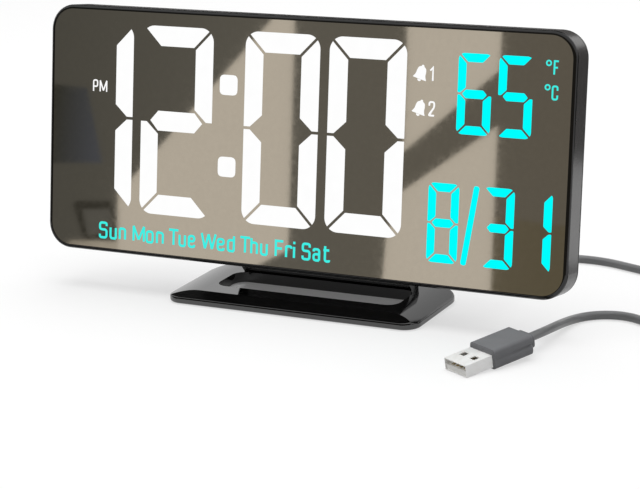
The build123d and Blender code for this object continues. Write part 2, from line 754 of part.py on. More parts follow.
# Snooze bar, flush in the top edge
with BuildPart() as snooze_bar:
    with BuildSketch(top_plane):
        with Locations((0, SNOOZE_CENTRE)):
            RectangleRounded(SNOOZE_LENGTH, SNOOZE_WIDTH, SNOOZE_CORNER)
    extrude(amount=-(WALL + PUSH_PLAY / 2 + SNOOZE_FLANGE / 2))
    with BuildSketch(top_plane.offset(-(WALL + PUSH_PLAY / 2))):
        with Locations((0, SNOOZE_CENTRE)):
            RectangleRounded(SNOOZE_LENGTH + 2 * SNOOZE_LIP, SNOOZE_WIDTH + 2 * SNOOZE_LIP, SNOOZE_CORNER)
    extrude(amount=-(SNOOZE_FLANGE - PUSH_PLAY / 2))

# Battery: holder on the inside of the hump, cell, and a cap that twists to lock
holder_depth = CELL_THICK + CELL_ROOM
with BuildPart() as cell_holder:
    with BuildSketch(at_depth(hump_inside)):
        with Locations(cell_at):
            Circle(CELL_RADIUS + CAP_PLAY + HOLDER_WALL)
    extrude(amount=holder_depth + HOLDER_FLOOR)
    with BuildSketch(at_depth(hump_inside)):
        with Locations(cell_at):
            Circle(CELL_RADIUS + CAP_PLAY)
    extrude(amount=holder_depth, mode=Mode.SUBTRACT)

with BuildPart() as coin_cell:
    with BuildSketch(at_depth(hump_inside - holder_depth)):
        with Locations(cell_at):
            Circle(CELL_RADIUS)
    extrude(amount=-CELL_THICK)
    chamfer(coin_cell.faces().sort_by(Axis((0, 0, 0), face_plane.z_dir))[0].edges(), CELL_CHAMFER)

with BuildPart() as cell_cap:
    with BuildSketch(at_depth(hump_back)):
        with Locations(cell_at):
            Circle(CAP_RADIUS)
    extrude(amount=CAP_THICK - PUSH_PLAY)
    with BuildSketch(at_depth(hump_back - CAP_THICK + PUSH_PLAY)):
        with Locations(cell_at):
            Circle(CELL_RADIUS - CAP_PLAY)
    extrude(amount=HUMP_WALL - CAP_THICK)
    with BuildSketch(at_depth(hump_back)):
        with Locations(cell_at):
            SlotOverall(CAP_SLOT[0], CAP_SLOT[1])
    extrude(amount=CAP_SLOT[2], mode=Mode.SUBTRACT)

# Stand: plate with a window, neck behind it, knuckle on top
base_half = BASE_WIDTH / 2
flat_half = base_half - CROWN_WIDTH
crown_low = BASE_TOP - CROWN_DROP
slope_back = base_front + SLOPE_DEPTH
foot_points = [
    (side * (base_half - FOOT_INSET[0]), along)
    for side in (-1, 1)
    for along in (base_front + FOOT_INSET[1], base_front + BASE_DEPTH - FOOT_INSET[1])
]
with BuildPart() as stand_base:
    # The plate's top bends down to both sides
    with BuildSketch(Plane.XZ.offset(-base_front)):
        with BuildLine():
            TangentArc((flat_half, BASE_TOP), (base_half, crown_low), tangent=(1, 0))
            Polyline(
                (base_half, crown_low),
                (base_half, FOOT_PROUD),
                (-base_half, FOOT_PROUD),
                (-base_half, crown_low),
            )
            TangentArc((-flat_half, BASE_TOP), (-base_half, crown_low), tangent=(-1, 0))
            Line((-flat_half, BASE_TOP), (flat_half, BASE_TOP))
        make_face()
    extrude(amount=-BASE_DEPTH)
    with BuildSketch(Plane.XY.offset(FOOT_PROUD)) as plate_sketch:
        with Locations((0, -BASE_FORWARD)):
            Rectangle(BASE_WIDTH, BASE_DEPTH)
        fillet(plate_sketch.vertices().group_by(Axis.Y)[0], BASE_FRONT_CORNER)
        fillet(plate_sketch.vertices().group_by(Axis.Y)[-1], BASE_BACK_CORNER)
    extrude(amount=BASE_TOP, mode=Mode.INTERSECT)
    # Its front slopes down to the front edge
    with BuildSketch(Plane.YZ.offset(-base_half)):
        Polygon(
            (slope_back, BASE_TOP),
            (slope_back - 2 * SLOPE_DEPTH, BASE_TOP),
            (slope_back - 2 * SLOPE_DEPTH, BASE_TOP - 2 * SLOPE_DROP),
            align=None,
        )
    extrude(amount=BASE_WIDTH, mode=Mode.SUBTRACT)
    plate_walls = stand_base.faces().filter_by(lambda face: abs(face.normal_at().Z) < 0.01)
    fillet(plate_walls.edges().filter_by(Axis.Z, reverse=True), BASE_ROUND)
    with BuildSketch(Plane.XY.offset(BASE_TOP)):
        with Locations((0, WINDOW_CENTRE)):
            RectangleRounded(WINDOW_WIDTH, WINDOW_DEPTH, WINDOW_CORNER)
    extrude(amount=-BASE_TOP, mode=Mode.SUBTRACT)
    with BuildSketch(Plane.YZ.offset(-NECK_WIDTH / 2)):
        Polygon(
            (NECK_FRONT, FOOT_PROUD + BASE_TOP / 2),
            (NECK_BACK - BASE_ROUND, FOOT_PROUD + BASE_TOP / 2),
            (HINGE_Y + KNUCKLE_RADIUS, NECK_TOP),
            (NECK_FRONT - NECK_LEAN, NECK_TOP),
            (NECK_FRONT, BASE_TOP),
            align=None,
        )
    extrude(amount=NECK_WIDTH)
    with BuildSketch(Plane.YZ.offset(-KNUCKLE_WIDTH / 2)):
        Polygon(
            (NECK_FRONT - NECK_LEAN + KNUCKLE_SINK, NECK_TOP - KNUCKLE_SINK),
            (HINGE_Y + KNUCKLE_RADIUS, NECK_TOP - KNUCKLE_SINK),
            (HINGE_Y + KNUCKLE_RADIUS, HINGE_Z),
            (HINGE_Y - KNUCKLE_RADIUS, HINGE_Z),
            align=None,
        )
        with Locations((HINGE_Y, HINGE_Z)):
            Circle(KNUCKLE_RADIUS)
    extrude(amount=KNUCKLE_WIDTH)
    with BuildSketch(Plane.YZ):
        with Locations((HINGE_Y, HINGE_Z)):
            Circle(PIN_RADIUS + PIN_PLAY)
    extrude(amount=BASE_WIDTH / 2, both=True, mode=Mode.SUBTRACT)
    with BuildSketch(Plane.XY.offset(FOOT_PROUD)):
        with Locations(*foot_points):
            Circle(FOOT_RADIUS + SHEET_PLAY / 2)
    extrude(amount=FOOT_THICK - FOOT_PROUD, mode=Mode.SUBTRACT)

with BuildPart() as rubber_feet:
    with BuildSketch(Plane.XY):
        with Locations(*foot_points):
            Circle(FOOT_RADIUS)
    extrude(amount=FOOT_THICK)

pin_half = lug_inner + LUG_WIDTH
with BuildPart() as hinge_pin:
    with BuildSketch(Plane.YZ):
        with Locations((HINGE_Y, HINGE_Z)):
            Circle(PIN_RADIUS)
    extrude(amount=pin_half, both=True)

with BuildPart() as hinge_washers:
    for near in (-lug_inner, lug_inner - WASHER_THICK):
        with BuildSketch(Plane.YZ.offset(near)):
            with Locations((HINGE_Y, HINGE_Z)):
                Circle(WASHER_RADIUS)
                Circle(PIN_RADIUS + PIN_PLAY, mode=Mode.SUBTRACT)
        extrude(amount=WASHER_THICK)

# Plug in the power socket
plug_end = hump_back + PLUG_LENGTH
relief_end = plug_end + RELIEF_LENGTH
with BuildPart() as power_plug:
    with BuildSketch(at_depth(hump_back)):
        with Locations(jack_at):
            Circle(PLUG_RADIUS)
    extrude(amount=-PLUG_LENGTH)
    fillet(power_plug.edges().filter_by(GeomType.CIRCLE), PLUG_ROUND)
    with BuildSketch(at_depth(plug_end)):
        with Locations(jack_at):
            Circle(RELIEF_RADII[0])
    with BuildSketch(at_depth(relief_end)):
        with Locations(jack_at):
            Circle(RELIEF_RADII[1])
    loft()

with BuildPart() as plug_barrel:
    with BuildSketch(at_depth(hump_back)):
        with Locations(jack_at):
            Circle(BARREL_RADIUS)
            Circle(BARREL_BORE, mode=Mode.SUBTRACT)
    extrude(amount=HUMP_WALL + BARREL_REACH)

# Lead: from the plug down to the table, to the right and into the coil
exit_point = in_head(*jack_at, relief_end)
lead_start = in_head(*jack_at, relief_end + 20)
lead_points = [
    exit_point,
    lead_start,
    (jack_at[0] + 3, exit_point[1] + 32, exit_point[2] * 0.32),
    (jack_at[0] + 15, exit_point[1] + 43, CORD_RADIUS),
    (jack_at[0] + 33, exit_point[1] + 45, CORD_RADIUS),
    (jack_at[0] + 51, exit_point[1] + 38.5, CORD_RADIUS),
    (COIL_CENTRE[0] - 26, COIL_CENTRE[1] + 37, CORD_RADIUS),
    (COIL_CENTRE[0] - 6, COIL_CENTRE[1] + 33, CORD_RADIUS),
    (COIL_CENTRE[0] + 10, COIL_CENTRE[1] + 22, CORD_RADIUS),
    (COIL_CENTRE[0] + COIL_RADIUS, COIL_CENTRE[1] + 2, CORD_RADIUS),
]

# Tail: from the coil round to the back of the USB plug
usb_cos = cos(radians(USB_HEADING))
usb_sin = sin(radians(USB_HEADING))
usb_lean_sin = sin(radians(USB_NOSE_DOWN))
usb_lean_cos = cos(radians(USB_NOSE_DOWN))
usb_back = USB_FRONT - USB_BODY[0]
usb_tail = usb_back - USB_NECK[0]
shell_back = USB_FRONT - USB_SHELL_HELD
shell_tip = USB_FRONT + USB_SHELL[0]
shell_low = USB_AXIS - USB_SHELL[2] / 2
usb_lift = shell_tip * usb_lean_sin - shell_low * usb_lean_cos


def in_usb(forward, height):
    """A point over the long axis of the USB plug, whose tip rests on the table."""
    out = forward * usb_lean_cos + height * usb_lean_sin
    up = usb_lift - forward * usb_lean_sin + height * usb_lean_cos
    return (USB_CENTRE[0] + out * usb_cos, USB_CENTRE[1] + out * usb_sin, up)


tail_points = [
    in_usb(usb_tail, USB_AXIS),
    in_usb(usb_tail - 7, USB_AXIS),
    (USB_CENTRE[0] + 8.2, USB_CENTRE[1] + 47, CORD_RADIUS),
    (USB_CENTRE[0] + 15.5, USB_CENTRE[1] + 55.7, CORD_RADIUS),
    (USB_CENTRE[0] + 26.5, USB_CENTRE[1] + 58.2, CORD_RADIUS),
    (COIL_CENTRE[0] - 16.8, COIL_CENTRE[1] - COIL_RADIUS - 0.8, CORD_RADIUS),
    (COIL_CENTRE[0], COIL_CENTRE[1] - COIL_RADIUS, CORD_RADIUS),
]


def bend_radii(points):
    """A radius for each inner corner that leaves a straight piece on each run."""
    radii = []
    for before, corner, after in zip(points, points[1:], points[2:]):
        run_in = dist(before, corner)
        run_out = dist(corner, after)
        opening = sum((a - c) * (b - c) for a, b, c in zip(before, after, corner)) / (run_in * run_out)
        half_turn = (pi / 2 + asin(max(-1.0, min(1.0, opening)))) / 2
        radii.append(0.45 * min(run_in, run_out) / tan(half_turn))
    return radii


def cord(points):
    """A round cord along straight runs and tangent arcs."""
    radii = bend_radii(points)
    print("cord radii", [round(radius, 1) for radius in radii])
    with BuildPart() as tube:
        with BuildLine() as route:
            FilletPolyline(*points, radius=radii)
        start = Vector(*points[0])
        onward = Vector(*points[1]) - start
        with BuildSketch(Plane(origin=start, z_dir=onward)):
            Circle(CORD_RADIUS)
        sweep(path=route.wires()[0])
    length = route.wires()[0].length
    fill = tube.part.volume / (pi * CORD_RADIUS**2 * length)
    print("cord length", round(length, 1), "fill", round(fill, 4))
    return tube


cord_lead = cord(lead_points)
cord_tail = cord(tail_points)

coil_height = COIL_BUNDLE + TIE_UNDER
coil_middle = (COIL_CENTRE[0], COIL_CENTRE[1], coil_height)
with BuildPart() as cord_coil:
    with BuildSketch(Plane(origin=coil_middle, x_dir=(1, 0, 0), z_dir=(0, -1, 0))):
        with Locations((COIL_RADIUS, 0)):
            Circle(COIL_BUNDLE)
    revolve(axis=Axis(coil_middle, (0, 0, 1)))

tie_cos = cos(radians(TIE_ANGLE))
tie_sin = sin(radians(TIE_ANGLE))
tie_plane = Plane(
    origin=(COIL_CENTRE[0] + COIL_RADIUS * tie_cos, COIL_CENTRE[1] + COIL_RADIUS * tie_sin, coil_height),
    x_dir=(tie_cos, tie_sin, 0),
    z_dir=(tie_sin, -tie_cos, 0),
)
with BuildPart() as cord_tie:
    with BuildSketch(tie_plane):
        Circle(COIL_BUNDLE + TIE_THICK)
        Circle(COIL_BUNDLE, mode=Mode.SUBTRACT)
    extrude(amount=TIE_LENGTH / 2, both=True)
    split(bisect_by=Plane.XY, keep=Keep.TOP)

# USB plug: moulded grip, folded shell, tongue and four contacts
usb_forward = (usb_cos * usb_lean_cos, usb_sin * usb_lean_cos, -usb_lean_sin)
usb_plane = Plane(
    origin=in_usb(0, 0),
    x_dir=usb_forward,
    z_dir=(usb_cos * usb_lean_sin, usb_sin * usb_lean_sin, usb_lean_cos),
)
end_plane = Plane(origin=in_usb(0, USB_AXIS), x_dir=(-usb_sin, usb_cos, 0), z_dir=usb_forward)
shell_length = shell_tip - shell_back
tongue_length = shell_length - USB_TONGUE_SHORT

with BuildPart() as usb_grip:
    with BuildSketch(usb_plane):
        with Locations(((USB_FRONT + usb_back) / 2, 0)):
            Rectangle(USB_BODY[0], USB_BODY[1])
    extrude(amount=USB_BODY[2])
    across_usb = Plane(usb_plane.origin, z_dir=usb_plane.x_dir)
    fillet(usb_grip.edges().filter_by(across_usb, reverse=True), USB_ROUND)
    with BuildSketch(end_plane.offset(usb_tail)):
        RectangleRounded(USB_NECK[1], USB_NECK[2], USB_NECK[2] * 0.3)
    extrude(amount=USB_NECK[0] + USB_ROUND)
    with BuildSketch(end_plane.offset(shell_back)):
        Rectangle(USB_SHELL[1], USB_SHELL[2])
    extrude(amount=USB_SHELL_HELD, mode=Mode.SUBTRACT)

with BuildPart() as usb_shell:
    with BuildSketch(end_plane.offset(shell_back)):
        Rectangle(USB_SHELL[1], USB_SHELL[2])
        Rectangle(USB_SHELL[1] - 2 * USB_SHELL_WALL, USB_SHELL[2] - 2 * USB_SHELL_WALL, mode=Mode.SUBTRACT)
    extrude(amount=shell_length)
    with BuildSketch(usb_plane.offset(USB_AXIS)):
        with Locations((shell_tip - USB_HOLE_BACK, 0)):
            with GridLocations(1, USB_HOLE_APART, 1, 2):
                Rectangle(USB_HOLE, USB_HOLE)
    extrude(amount=USB_SHELL[2], mode=Mode.SUBTRACT)

with BuildPart() as usb_tongue:
    with BuildSketch(usb_plane.offset(shell_low + USB_SHELL_WALL)):
        with Locations((shell_back + tongue_length / 2, 0)):
            Rectangle(tongue_length, USB_SHELL[1] - 2 * USB_SHELL_WALL)
    extrude(amount=USB_TONGUE)

with BuildPart() as usb_contacts:
    with BuildSketch(usb_plane.offset(shell_low + USB_SHELL_WALL + USB_TONGUE)):
        with Locations((shell_back + tongue_length - USB_CONTACT[0] / 2 - USB_CONTACT_INSET, 0)):
            with GridLocations(1, USB_CONTACT_PITCH, 1, 4):
                Rectangle(USB_CONTACT[0], USB_CONTACT[1])
    extrude(amount=USB_CONTACT[2])

pieces = {
    "front_frame": front_frame,
    "mirror_panel": mirror_panel,
    "panel_tape": panel_tape,
    "display_mask": display_mask,
    "diffuser_sheet": diffuser_sheet,
    "reflector_block": reflector_block,
    "main_board": main_board,
    "led_chips": led_chips,
    "board_screws": board_screws,
    "controller": controller,
    "display_driver": display_driver,
    "clock_crystal": clock_crystal,
    "temperature_sensor": temperature_sensor,
    "buzzer": buzzer,
    "supply_capacitor": supply_capacitor,
    "power_socket": power_socket,
    "snooze_switch": snooze_switch,
    "snooze_bar": snooze_bar,
    "rear_cover": rear_cover,
    "cover_screws": cover_screws,
    "key_board": key_board,
    "key_switches": key_switches,
    "key_board_screws": key_board_screws,
    "cell_holder": cell_holder,
    "coin_cell": coin_cell,
    "cell_cap": cell_cap,
    "stand_base": stand_base,
    "rubber_feet": rubber_feet,
    "hinge_pin": hinge_pin,
    "hinge_washers": hinge_washers,
    "power_plug": power_plug,
    "plug_barrel": plug_barrel,
    "cord_lead": cord_lead,
    "cord_coil": cord_coil,
    "cord_tie": cord_tie,
    "cord_tail": cord_tail,
    "usb_grip": usb_grip,
    "usb_shell": usb_shell,
    "usb_tongue": usb_tongue,
    "usb_contacts": usb_contacts,
}
for name, piece in pieces.items():
    piece.part.label = name
    export_step(piece.part, "parts/" + name + ".step")
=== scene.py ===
import json
from math import asin, cos, degrees, exp, radians, sin, sqrt

import bmesh
import bpy
from mathutils import Matrix, Vector


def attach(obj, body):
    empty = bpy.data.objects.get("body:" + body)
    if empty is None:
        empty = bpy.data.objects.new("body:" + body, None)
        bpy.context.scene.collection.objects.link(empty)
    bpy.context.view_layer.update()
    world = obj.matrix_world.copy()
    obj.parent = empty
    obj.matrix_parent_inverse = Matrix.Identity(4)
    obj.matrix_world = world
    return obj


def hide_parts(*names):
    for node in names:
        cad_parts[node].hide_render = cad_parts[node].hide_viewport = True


# Digital alarm clock with a mirror front: finishes, lit display, USB lead and studio.
# Metres, in the frame of the part. Sizes on the face, the USB plug and the lead are in millimetres.

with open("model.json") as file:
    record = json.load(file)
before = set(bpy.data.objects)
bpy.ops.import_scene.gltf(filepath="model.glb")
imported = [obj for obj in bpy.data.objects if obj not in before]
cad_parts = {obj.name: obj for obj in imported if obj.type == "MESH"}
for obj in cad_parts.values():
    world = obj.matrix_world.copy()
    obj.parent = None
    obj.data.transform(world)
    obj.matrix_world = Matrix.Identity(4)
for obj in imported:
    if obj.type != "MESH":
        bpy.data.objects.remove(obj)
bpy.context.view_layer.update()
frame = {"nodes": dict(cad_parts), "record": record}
MM = 0.001
WHITE = (1.0, 1.0, 1.0, 1.0)
BLACK = (0.0, 0.0, 0.0, 1.0)

# Front face, as in the part: where its lower edge is, how far it leans, and the mirror's inset
FACE_ORIGIN = Vector((0.0, -16.9, 15.8)) * MM
FACE_LEAN = radians(9.0)
FACE_UP = Vector((0.0, sin(FACE_LEAN), cos(FACE_LEAN)))
FACE_OUT = Vector((0.0, -cos(FACE_LEAN), sin(FACE_LEAN)))
MIRROR_INSET = 0.2
LIT_THICK = 0.03

# Camera: where it stands, how it is turned, and its lens
CAMERA_PLACE = Vector((0.3787, -0.7232, 0.2620))
CAMERA_YAW = radians(27.41)
CAMERA_PITCH = radians(16.38)
CAMERA_ROLL = radians(-2.33)
CAMERA_SENSOR = 36.0
CAMERA_LENS = 124.6
CAMERA_NEAR = 0.01

# Big white digits and the colon between them
BIG_SIZE = (31.55, 73.1)
BIG_STROKE = 7.7
BIG_LOW = 17.0
BIG_ROUND = 5.4
BIG_GAP = 1.1
BIG_DIGITS = (("1", -103.5), ("2", -68.05), ("0", -22.6), ("0", 12.85))
COLON_LEFT = -33.4
COLON_SIZE = 7.7
COLON_ROUND = 2.0
COLON_LOW = (34.05, 65.35)

# Small digits of the temperature and the date: figure, left and low edge, and width
SMALL_HEIGHT = 29.4
SMALL_STROKE = 3.2
SMALL_ROUND = 2.4
SMALL_GAP = 0.75
SMALL_SOFT = 0.4
SMALL_DIGITS = (
    ("6", 64.8, 57.4, 13.2),
    ("5", 80.6, 57.4, 13.2),
    ("8", 54.9, 9.7, 12.3),
    ("3", 76.6, 9.7, 12.2),
    ("1", 91.0, 9.7, 12.3),
)
SLASH_ENDS = ((69.6, 9.7), (74.0, 39.0))
SLASH_WIDTH = 2.3
SLASH_SOFT = 0.45 * SLASH_WIDTH

# Segments that each figure lights: a to f clockwise from the top bar, and g across the middle
SEGMENTS = {
    "0": "abcdef",
    "1": "bc",
    "2": "abdeg",
    "3": "abcdg",
    "5": "acdfg",
    "6": "acdefg",
    "8": "abcdefg",
}

# Ends of the segments: flat of a post and point of the cross bar, in strokes, and slope of the post
POST_FLAT = 0.34
POST_SLOPE = 0.9
CROSS_POINT = 0.55

# Most of a run that one rounded corner may take, and least cosine that widens a stroke at its bends
RUN_SHARE = 0.48
MITRE_LEAST = 0.45

# Legends: text, left and right end, then baseline, cap height and stroke
WEEK_LINE = (5.2, 6.8, 0.96)
WEEK_DAYS = (
    ("Sun", -86.4, -73.8),
    ("Mon", -70.9, -56.6),
    ("Tue", -54.8, -42.5),
    ("Wed", -40.2, -25.0),
    ("Thu", -23.2, -10.7),
    ("Fri", -7.8, 1.0),
    ("Sat", 3.7, 15.8),
)
HALF_DAY = ("PM", -90.3, -83.7, 62.9, 4.9, 0.58)
ALARM_NUMBERS = (
    ("1", 53.5, 55.2, 75.6, 5.5, 0.64),
    ("2", 53.6, 56.3, 63.0, 5.6, 0.68),
)

# Degree marks: the letter as a legend, and the centre of its ring
DEGREES = (
    (("F", 101.2, 103.4, 80.7, 5.4, 0.66), (99.4, 85.0)),
    (("C", 100.9, 103.4, 71.9, 5.3, 0.66), (99.3, 76.4)),
)
RING_RADIUS = 0.85
RING_STROKE = 0.56
RING_STEPS = 20

# Alarm bells: places, tilt, one side of the body from the top down, and height and radius of knob and clapper
BELLS = ((49.55, 76.4), (49.55, 63.7))
BELL_TILT = radians(-16.0)
BELL_SIDE = [(0.62, 4.75), (1.5, 4.25), (1.85, 3.1), (1.93, 1.7), (2.3, 0.8), (2.85, 0.0)]
BELL_SOFT = 0.5
BELL_KNOB = (4.8, 0.55)
BELL_CLAPPER = (-0.1, 0.75)
KNOB_STEPS = 14
CLAPPER_STEPS = 10

# Strokes of each letter on a grid one capital tall, by the middle of the stroke
LOW_CASE = 0.72
LETTERS = {
    "S": [[(0.5, 0.78), (0.5, 1), (0, 1), (0, 0.54), (0.5, 0.54), (0.5, 0), (0, 0), (0, 0.22)]],
    "M": [[(0, 0), (0, 1)], [(0, 1), (0.36, 0.1)], [(0.36, 0.1), (0.72, 1)], [(0.72, 1), (0.72, 0)]],
    "T": [[(0, 1), (0.7, 1)], [(0.35, 1), (0.35, 0)]],
    "W": [
        [(0, 1), (0.24, 0)],
        [(0.24, 0), (0.48, 0.96)],
        [(0.48, 0.96), (0.72, 0)],
        [(0.72, 0), (0.96, 1)],
    ],
    "F": [[(0.52, 1), (0, 1), (0, 0)], [(0, 0.52), (0.44, 0.52)]],
    "P": [[(0, 0), (0, 1), (0.44, 1), (0.44, 0.44), (0, 0.44)]],
    "C": [[(0.46, 0.68), (0.46, 1), (0, 1), (0, 0), (0.46, 0), (0.46, 0.32)]],
    "a": [
        [(0, 0.56), (0, LOW_CASE), (0.4, LOW_CASE), (0.4, 0)],
        [(0.4, 0.4), (0, 0.4), (0, 0), (0.4, 0)],
    ],
    "d": [[(0.4, LOW_CASE), (0, LOW_CASE), (0, 0), (0.4, 0)], [(0.4, 1), (0.4, 0)]],
    "e": [[(0, 0.37), (0.4, 0.37), (0.4, LOW_CASE), (0, LOW_CASE), (0, 0), (0.4, 0), (0.4, 0.15)]],
    "h": [[(0, 1), (0, 0)], [(0, LOW_CASE), (0.4, LOW_CASE), (0.4, 0)]],
    "i": [[(0, LOW_CASE), (0, 0)], [(0, 1.06), (0, 0.9)]],
    "n": [[(0, LOW_CASE), (0, 0)], [(0, LOW_CASE), (0.4, LOW_CASE), (0.4, 0)]],
    "o": [[(0.2, 0), (0.4, 0), (0.4, LOW_CASE), (0, LOW_CASE), (0, 0), (0.2, 0)]],
    "r": [[(0, LOW_CASE), (0, 0)], [(0, 0.5), (0, LOW_CASE), (0.36, LOW_CASE), (0.36, 0.58)]],
    "t": [[(0.12, 0.98), (0.12, 0), (0.42, 0), (0.42, 0.1)], [(0, LOW_CASE), (0.42, LOW_CASE)]],
    "u": [[(0, LOW_CASE), (0, 0), (0.4, 0)], [(0.4, LOW_CASE), (0.4, 0)]],
    "1": [[(0, 0.76), (0.22, 1), (0.22, 0)]],
    "2": [[(0, 0.72), (0, 1), (0.44, 1), (0.44, 0.6), (0, 0.08), (0, 0), (0.46, 0)]],
}
SHARP_LETTERS = "MWTF1"
LETTER_BEND = 0.17
LETTER_SPACE = 0.3
TUCKED_SPACE = {"M": 0.2, "T": 0.1, "W": 0.16, "F": 0.22, "r": 0.2}

# Grip of the USB plug, as in the part: its place, then length, width and height of body and neck
GRIP_CENTRE = (94.7, -40.6)
GRIP_HEADING = radians(-118.4)
GRIP_NOSE_DOWN = radians(6.0)
GRIP_FRONT = 8.4
GRIP_BODY = (18.2, 13.6, 7.5)
GRIP_ROUND = 1.5
GRIP_END_BEVEL = 0.6
GRIP_TOP_BEVEL = 1.1
GRIP_NECK = (2.8, 8.6, 5.2)
GRIP_NECK_ROUND = 1.5
GRIP_NECK_BEVEL = 0.4
GRIP_STATIONS = 10
GRIP_SHARP = radians(32.0)

# Shell of the USB plug: height of its axis, how far it stands out and is held, width and height
SHELL_AXIS = 3.4
SHELL_OUT = 11.75
SHELL_HELD = 6.0
SHELL_SIZE = (12.0, 4.5)
SHELL_CORNER = 0.05

# Crease along the sides of the grip: depth at front and back, and middle and width as shares of the side
CREASE_DEPTHS = (0.3, 0.75)
CREASE_MIDDLE = 0.5
CREASE_WIDTH = 0.15
CREASE_STEPS = 12

# Lead: route points as in the part, from the power plug to the coil and from the coil to the USB plug
CORD_RADIUS = 1.65
CORD_ORDER = 3
CORD_ROUND_STEPS = 4
CORD_ALONG_STEPS = 8
LEAD_ROUTE = (
    (55.0, 35.251, 31.839),
    (55.0, 55.005, 28.711),
    (58.0, 67.251, 10.189),
    (70.0, 78.251, 1.65),
    (88.0, 80.251, 1.65),
    (106.0, 73.751, 1.65),
    (124.0, 67.0, 1.65),
    (144.0, 63.0, 1.65),
    (160.0, 52.0, 1.65),
)
TAIL_ROUTE = (
    (133.2, 11.2, 1.65),
    (121.2, 17.6, 1.65),
    (110.2, 15.1, 1.65),
    (102.9, 6.4, 1.65),
    (103.802, -23.766, 6.393),
    (100.491, -29.89, 5.661),
)

# Coil: centre, turns, points to a turn, height of the bundle's middle, and radius and rise of each turn
COIL_CENTRE = (150.0, 30.0)
COIL_TURNS = 7.25
COIL_STEPS = 16
COIL_BUNDLE_HEIGHT = 4.55
COIL_STRANDS = (
    (18.15, -2.85),
    (14.85, -2.85),
    (13.2, 0.0),
    (16.5, 0.0),
    (14.85, 2.85),
    (18.15, 2.85),
    (19.8, 0.0),
    (21.1, -2.9),
)

# Where each turn passes over to the next one's place, in degrees
COIL_FIRST_SHIFT = 95.0
COIL_SHIFT_APART = 36.0
COIL_SHIFT_LONG = 40.0


# Points and outlines on the face


def on_face(across, up, proud=0.0):
    """A point of the mirror's front, from millimetres across and up the face."""
    flat = FACE_ORIGIN + Vector((across, 0.0, 0.0)) * MM + FACE_UP * (up * MM)
    return flat + FACE_OUT * ((proud - MIRROR_INSET) * MM)


def arc(centre, radius, start, end, steps=6):
    """Points along an arc, angles in degrees."""
    turns = [radians(start + (end - start) * step / steps) for step in range(steps + 1)]
    return [(centre[0] + radius * cos(turn), centre[1] + radius * sin(turn)) for turn in turns]


def softened(points, bend, closed=True, steps=4):
    """A line or outline whose corners are rounded off over the length of bend."""
    count = len(points)
    made = []
    for index, corner in enumerate(points):
        if not closed and index in (0, count - 1):
            made.append(corner)
            continue
        here = Vector(corner)
        back = Vector(points[index - 1]) - here
        onward = Vector(points[(index + 1) % count]) - here
        before = here + back.normalized() * min(bend, back.length * RUN_SHARE)
        after = here + onward.normalized() * min(bend, onward.length * RUN_SHARE)
        for step in range(steps + 1):
            share = step / steps
            near = before.lerp(here, share)
            far = here.lerp(after, share)
            made.append(tuple(near.lerp(far, share)))
    return made


def digit(figure, left, low, size, stroke, corner, gap):
    """Outlines of the lit segments of one figure, parted by narrow mitred gaps."""
    right = left + size[0]
    top = low + size[1]
    half = low + size[1] / 2
    flip_x = left + right
    flip_y = low + top
    split = gap / 2
    mitre = split * sqrt(2)
    spread = degrees(asin(split / corner))
    centre = (right - corner, top - corner)
    flat = stroke * POST_FLAT
    slant = (stroke - flat) * POST_SLOPE
    bar_half = arc(centre, corner, 90, 45 + spread) + [(right - stroke - mitre, top - stroke)]
    post = arc(centre, corner, 45 - spread, 0)
    post += [(right, half + split), (right - flat, half + split)]
    post += [(right - stroke, half + split + slant), (right - stroke, top - stroke - mitre)]
    cross_half = [
        (right - stroke, half + stroke / 2),
        (right - stroke * CROSS_POINT, half),
        (right - stroke, half - stroke / 2),
    ]
    bar = bar_half + [(flip_x - x, y) for x, y in reversed(bar_half)]
    outlines = {
        "a": bar,
        "b": post,
        "c": [(x, flip_y - y) for x, y in post],
        "d": [(x, flip_y - y) for x, y in bar],
        "e": [(flip_x - x, flip_y - y) for x, y in post],
        "f": [(flip_x - x, y) for x, y in post],
        "g": cross_half + [(flip_x - x, y) for x, y in reversed(cross_half)],
    }
    return [outlines[letter] for letter in SEGMENTS[figure]]


def square(left, low, side, bend):
    """Outline of a rounded square."""
    right = left + side
    top = low + side
    return softened([(left, low), (right, low), (right, top), (left, top)], bend)


def ribbon(line, width):
    """Outline of a stroke of even width along a line."""
    points = [Vector(point) for point in line]
    sides = []
    for index, point in enumerate(points):
        before = points[max(index - 1, 0)]
        after = points[min(index + 1, len(points) - 1)]
        into = (point - before).normalized() if index else (after - point).normalized()
        out = (after - point).normalized() if index < len(points) - 1 else into
        along = (into + out).normalized()
        reach = width / 2 / max(along.dot(into), MITRE_LEAST)
        sides.append(Vector((-along.y, along.x)) * reach)
    left = [tuple(point + side) for point, side in zip(points, sides)]
    right = [tuple(point - side) for point, side in zip(points, sides)]
    return left + right[::-1]


def written(text, left, right, base, cap, stroke):
    """Stroke outlines of a word that fills the width from left to right."""
    lines = []
    pen = 0.0
    for letter in text:
        strokes = LETTERS[letter]
        for line in strokes:
            bent = line if letter in SHARP_LETTERS else softened(line, LETTER_BEND, closed=False)
            lines.append([(pen + x, y) for x, y in bent])
        wide = pen + max(x for line in strokes for x, y in line)
        pen = wide + TUCKED_SPACE.get(letter, LETTER_SPACE)
    across = (right - left - stroke) / wide
    tall = cap - stroke
    placed = [
        [(left + stroke / 2 + x * across, base + stroke / 2 + y * tall) for x, y in line]
        for line in lines
    ]
    return [ribbon(line, stroke) for line in placed]


def tilted(point, place):
    """A point of a bell, turned by the tilt and moved to the bell's place."""
    x, y = point
    across = x * cos(BELL_TILT) - y * sin(BELL_TILT)
    up = x * sin(BELL_TILT) + y * cos(BELL_TILT)
    return place[0] + across, place[1] + up


